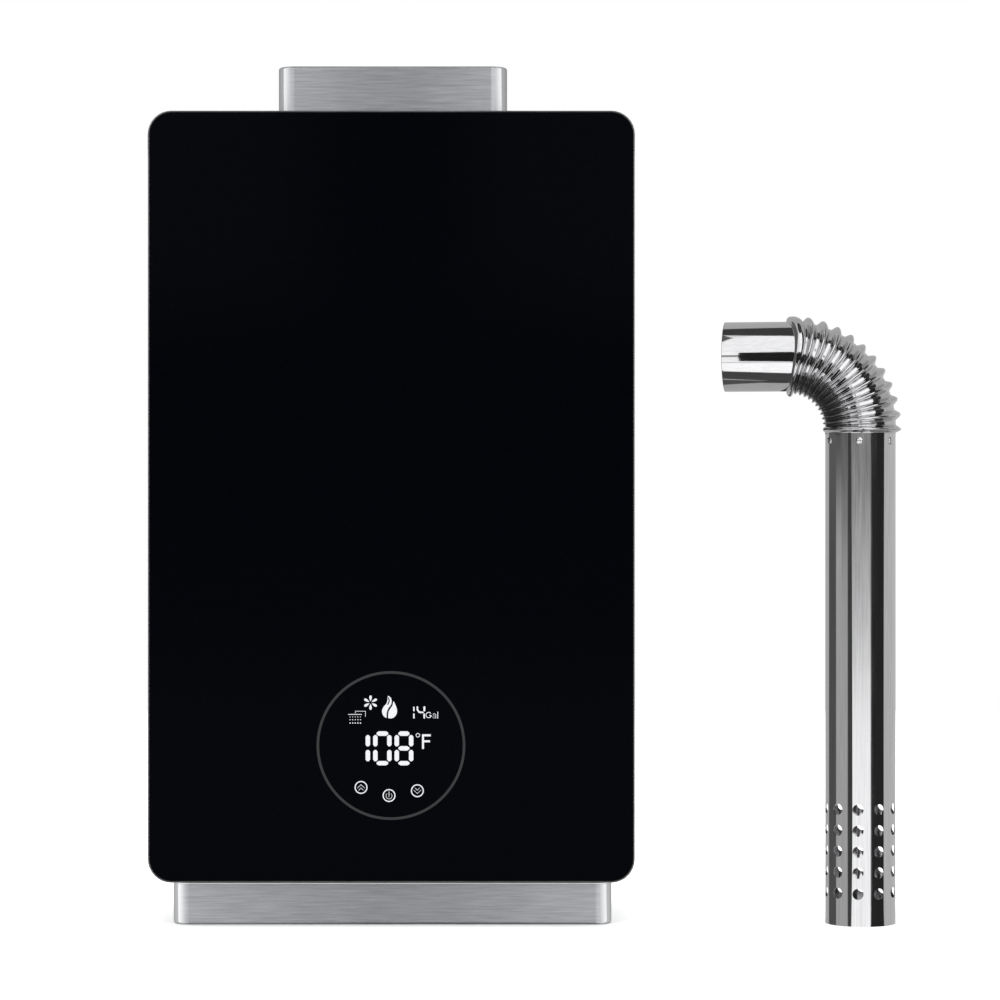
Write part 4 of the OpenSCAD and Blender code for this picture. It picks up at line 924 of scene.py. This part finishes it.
# Lamps: place, target, size and power
SOFTBOXES = {
    "overhead": ((0.1, -0.4, 2.6), (0.1, 0.1, 0.0), (3.2, 3.2), 105.0),
    "front_left": ((-1.8, -2.2, 1.6), (0.1, 0.0, 0.3), (1.4, 1.4), 30.0),
    "front_right": ((2.0, -2.0, 1.4), (0.1, 0.0, 0.3), (1.2, 1.2), 22.0),
    "back": ((0.2, 2.4, 1.8), (0.1, 0.0, 0.3), (2.0, 1.4), 30.0),
}
FLOOR_X, FLOOR_Y = (-1.8, 2.1), (-0.9, 2.4)


def make_studio():
    world = bpy.data.worlds.new("studio")
    bpy.context.scene.world = world
    world.use_nodes = True
    tree = world.node_tree
    tree.nodes.clear()
    way = add(tree, "ShaderNodeTexCoord").outputs["Generated"]
    part = add(tree, "ShaderNodeSeparateXYZ", None, {0: way}).outputs
    ahead = math_node(tree, "MULTIPLY", part["Y"], -1.0)
    azimuth = math_node(tree, "DEGREES", math_node(tree, "ARCTAN2", part["X"], ahead))
    elevation = math_node(tree, "DEGREES", math_node(tree, "ARCSINE", part["Z"]))
    level = span(tree, elevation, *ROOM_RANGE, *ROOM_TONES)
    for a, e, value, soft in STUDIO_PANELS:
        level = studio_patch(tree, level, azimuth, elevation, a, e, value, soft)
    path = add(tree, "ShaderNodeLightPath").outputs
    lit = add(tree, "ShaderNodeMix", {"data_type": "FLOAT"},
              {0: path["Is Diffuse Ray"], 2: level, 3: ROOM_LIGHT}).outputs[0]
    seen = add(tree, "ShaderNodeMix", {"data_type": "FLOAT"}, {0: path["Is Camera Ray"], 2: lit, 3: 1.0}).outputs[0]
    back = add(tree, "ShaderNodeBackground", None, {"Color": (1.0, 1.0, 1.0, 1.0), "Strength": seen})
    out = tree.nodes.new("ShaderNodeOutputWorld")
    tree.links.new(back.outputs[0], out.inputs["Surface"])


def softbox(name, at, target, size, power):
    """A large area light that shows neither to the camera nor in reflections."""
    light = bpy.data.lights.new(name, "AREA")
    light.shape = "RECTANGLE"
    light.size, light.size_y = size
    light.energy = power
    made = bpy.data.objects.new(name, light)
    made.location = at
    made.rotation_euler = (Vector(target) - Vector(at)).to_track_quat("-Z", "Y").to_euler()
    made.visible_camera = False
    made.visible_glossy = False
    bpy.context.scene.collection.objects.link(made)


def make_floor():
    """A pale floor under the object; the white background goes on from its edges."""
    material, tree, shader = begin("floor", Specular_IOR_Level=0.0)
    drift = noise(tree, (3.0, 3.0, 3.0), 2.0)
    colour = blend(tree, drift, (0.86, 0.86, 0.86), (0.9, 0.9, 0.9))
    finish_with(tree, shader, colour, span(tree, drift, 0.0, 1.0, 0.8, 0.9))
    mesh = bpy.data.meshes.new("floor")
    (x0, x1), (y0, y1) = FLOOR_X, FLOOR_Y
    mesh.from_pydata([(x0, y0, 0.0), (x1, y0, 0.0), (x1, y1, 0.0), (x0, y1, 0.0)], [], [(0, 1, 2, 3)])
    mesh.materials.append(material)
    made = bpy.data.objects.new("floor", mesh)
    made.visible_glossy = False
    bpy.context.scene.collection.objects.link(made)


# Cards that show only in reflections: a corner, the edges that run from it, and the brightness of the side from which
# the first edge is to the right when the second points up, and of the other side, each below and above a height range
CARD_STEP = (0.26, 0.36)
CARDS = {
    "before_leg": ((0.222, -0.12, 0.3886), (0.063, 0.0, 0.0), (0.0, 0.0, 0.0412), (0.014, 0.014), (0.014, 0.014)),
    "before_elbow": ((0.285, -0.12, 0.372), (0.04, 0.0, 0.0), (0.0, 0.0, 0.053), (0.02, 0.02), (0.02, 0.02)),
    "under_leg": ((0.2, -0.083, 0.3575), (0.085, 0.0, 0.0), (0.0, 0.031, 0.0), (0.075, 0.075), (0.075, 0.075)),
    "under_elbow": ((0.292, -0.092, 0.3575), (0.02, 0.0, 0.0), (0.0, 0.11, 0.0), (0.03, 0.03), (0.03, 0.03)),
    "beside_elbow": ((0.288, -0.1, 0.3575), (0.0, 0.12, 0.0), (0.0, 0.0, 0.026), (0.03, 0.03), (0.03, 0.03)),
    "between_front": ((0.2, -0.11, -0.12), (0.0, 0.055, 0.0), (0.0, 0.0, 0.68), (1.05, 1.05), (0.48, 0.13)),
    "between_back": ((0.2, -0.055, -0.12), (0.0, 0.105, 0.0), (0.0, 0.0, 0.68), (0.55, 0.55), (0.1, 0.14)),
    "skirt_right": ((0.2, -0.15, -0.12), (0.0, 0.04, 0.0), (0.0, 0.0, 0.24), (1.05, 1.05), (0.48, 0.48)),
    "left_front": ((-0.2, -0.055, -0.12), (0.0, -0.075, 0.0), (0.0, 0.0, 0.68), (1.15, 1.15), (1.15, 1.15)),
    "left_back": ((-0.2, 0.1, -0.12), (0.0, -0.155, 0.0), (0.0, 0.0, 0.68), (0.55, 0.55), (0.55, 0.55)),
    "cowl_left": ((-0.125, -0.05, 0.592), (0.0, -0.09, 0.0), (0.0, 0.0, 0.17), (1.1, 1.1), (1.1, 1.1)),
    "cowl_left_back": ((-0.125, 0.1, 0.592), (0.0, -0.15, 0.0), (0.0, 0.0, 0.17), (0.45, 0.45), (0.45, 0.45)),
    "cowl_right": ((0.125, -0.14, 0.592), (0.0, 0.09, 0.0), (0.0, 0.0, 0.17), (1.1, 1.1), (0.35, 0.35)),
    "cowl_right_back": ((0.125, -0.05, 0.592), (0.0, 0.15, 0.0), (0.0, 0.0, 0.17), (0.45, 0.45), (0.35, 0.35)),
}


def make_card(name, corner, along, up, near, far):
    material, tree, shader = begin(name, Specular_IOR_Level=0.0, Emission_Strength=1.0)
    drift = noise(tree, (20.0, 20.0, 20.0), 2.0)
    geometry = add(tree, "ShaderNodeNewGeometry").outputs
    height = add(tree, "ShaderNodeSeparateXYZ", None, {0: geometry["Position"]}).outputs["Z"]
    tones = [span(tree, height, *CARD_STEP, *side, smooth=True) for side in (near, far)]
    tone = add(tree, "ShaderNodeMix", {"data_type": "FLOAT"}, {0: geometry["Backfacing"], 2: tones[0], 3: tones[1]})
    shade = add(tree, "ShaderNodeCombineColor", None, {k: tone.outputs[0] for k in range(3)}).outputs[0]
    tree.links.new(shade, shader.inputs["Emission Color"])
    finish_with(tree, shader, blend(tree, drift, (0.001, 0.001, 0.001), (0.002, 0.002, 0.002)),
                span(tree, drift, 0.0, 1.0, 0.85, 0.95))
    mesh = bpy.data.meshes.new(name)
    corner, along, up = Vector(corner), Vector(along), Vector(up)
    mesh.from_pydata([corner, corner + up, corner + up + along, corner + along], [], [(0, 1, 2, 3)])
    mesh.materials.append(material)
    made = bpy.data.objects.new(name, mesh)
    made.visible_camera = made.visible_diffuse = made.visible_shadow = made.visible_transmission = False
    bpy.context.scene.collection.objects.link(made)


def make_cards():
    for name, facts in CARDS.items():
        make_card("card_" + name, *facts)


make_studio()
make_floor()
make_cards()
for name, facts in SOFTBOXES.items():
    softbox(name, *facts)

bpy.context.scene.view_settings.view_transform = "Standard"
bpy.context.scene.view_settings.look = "None"
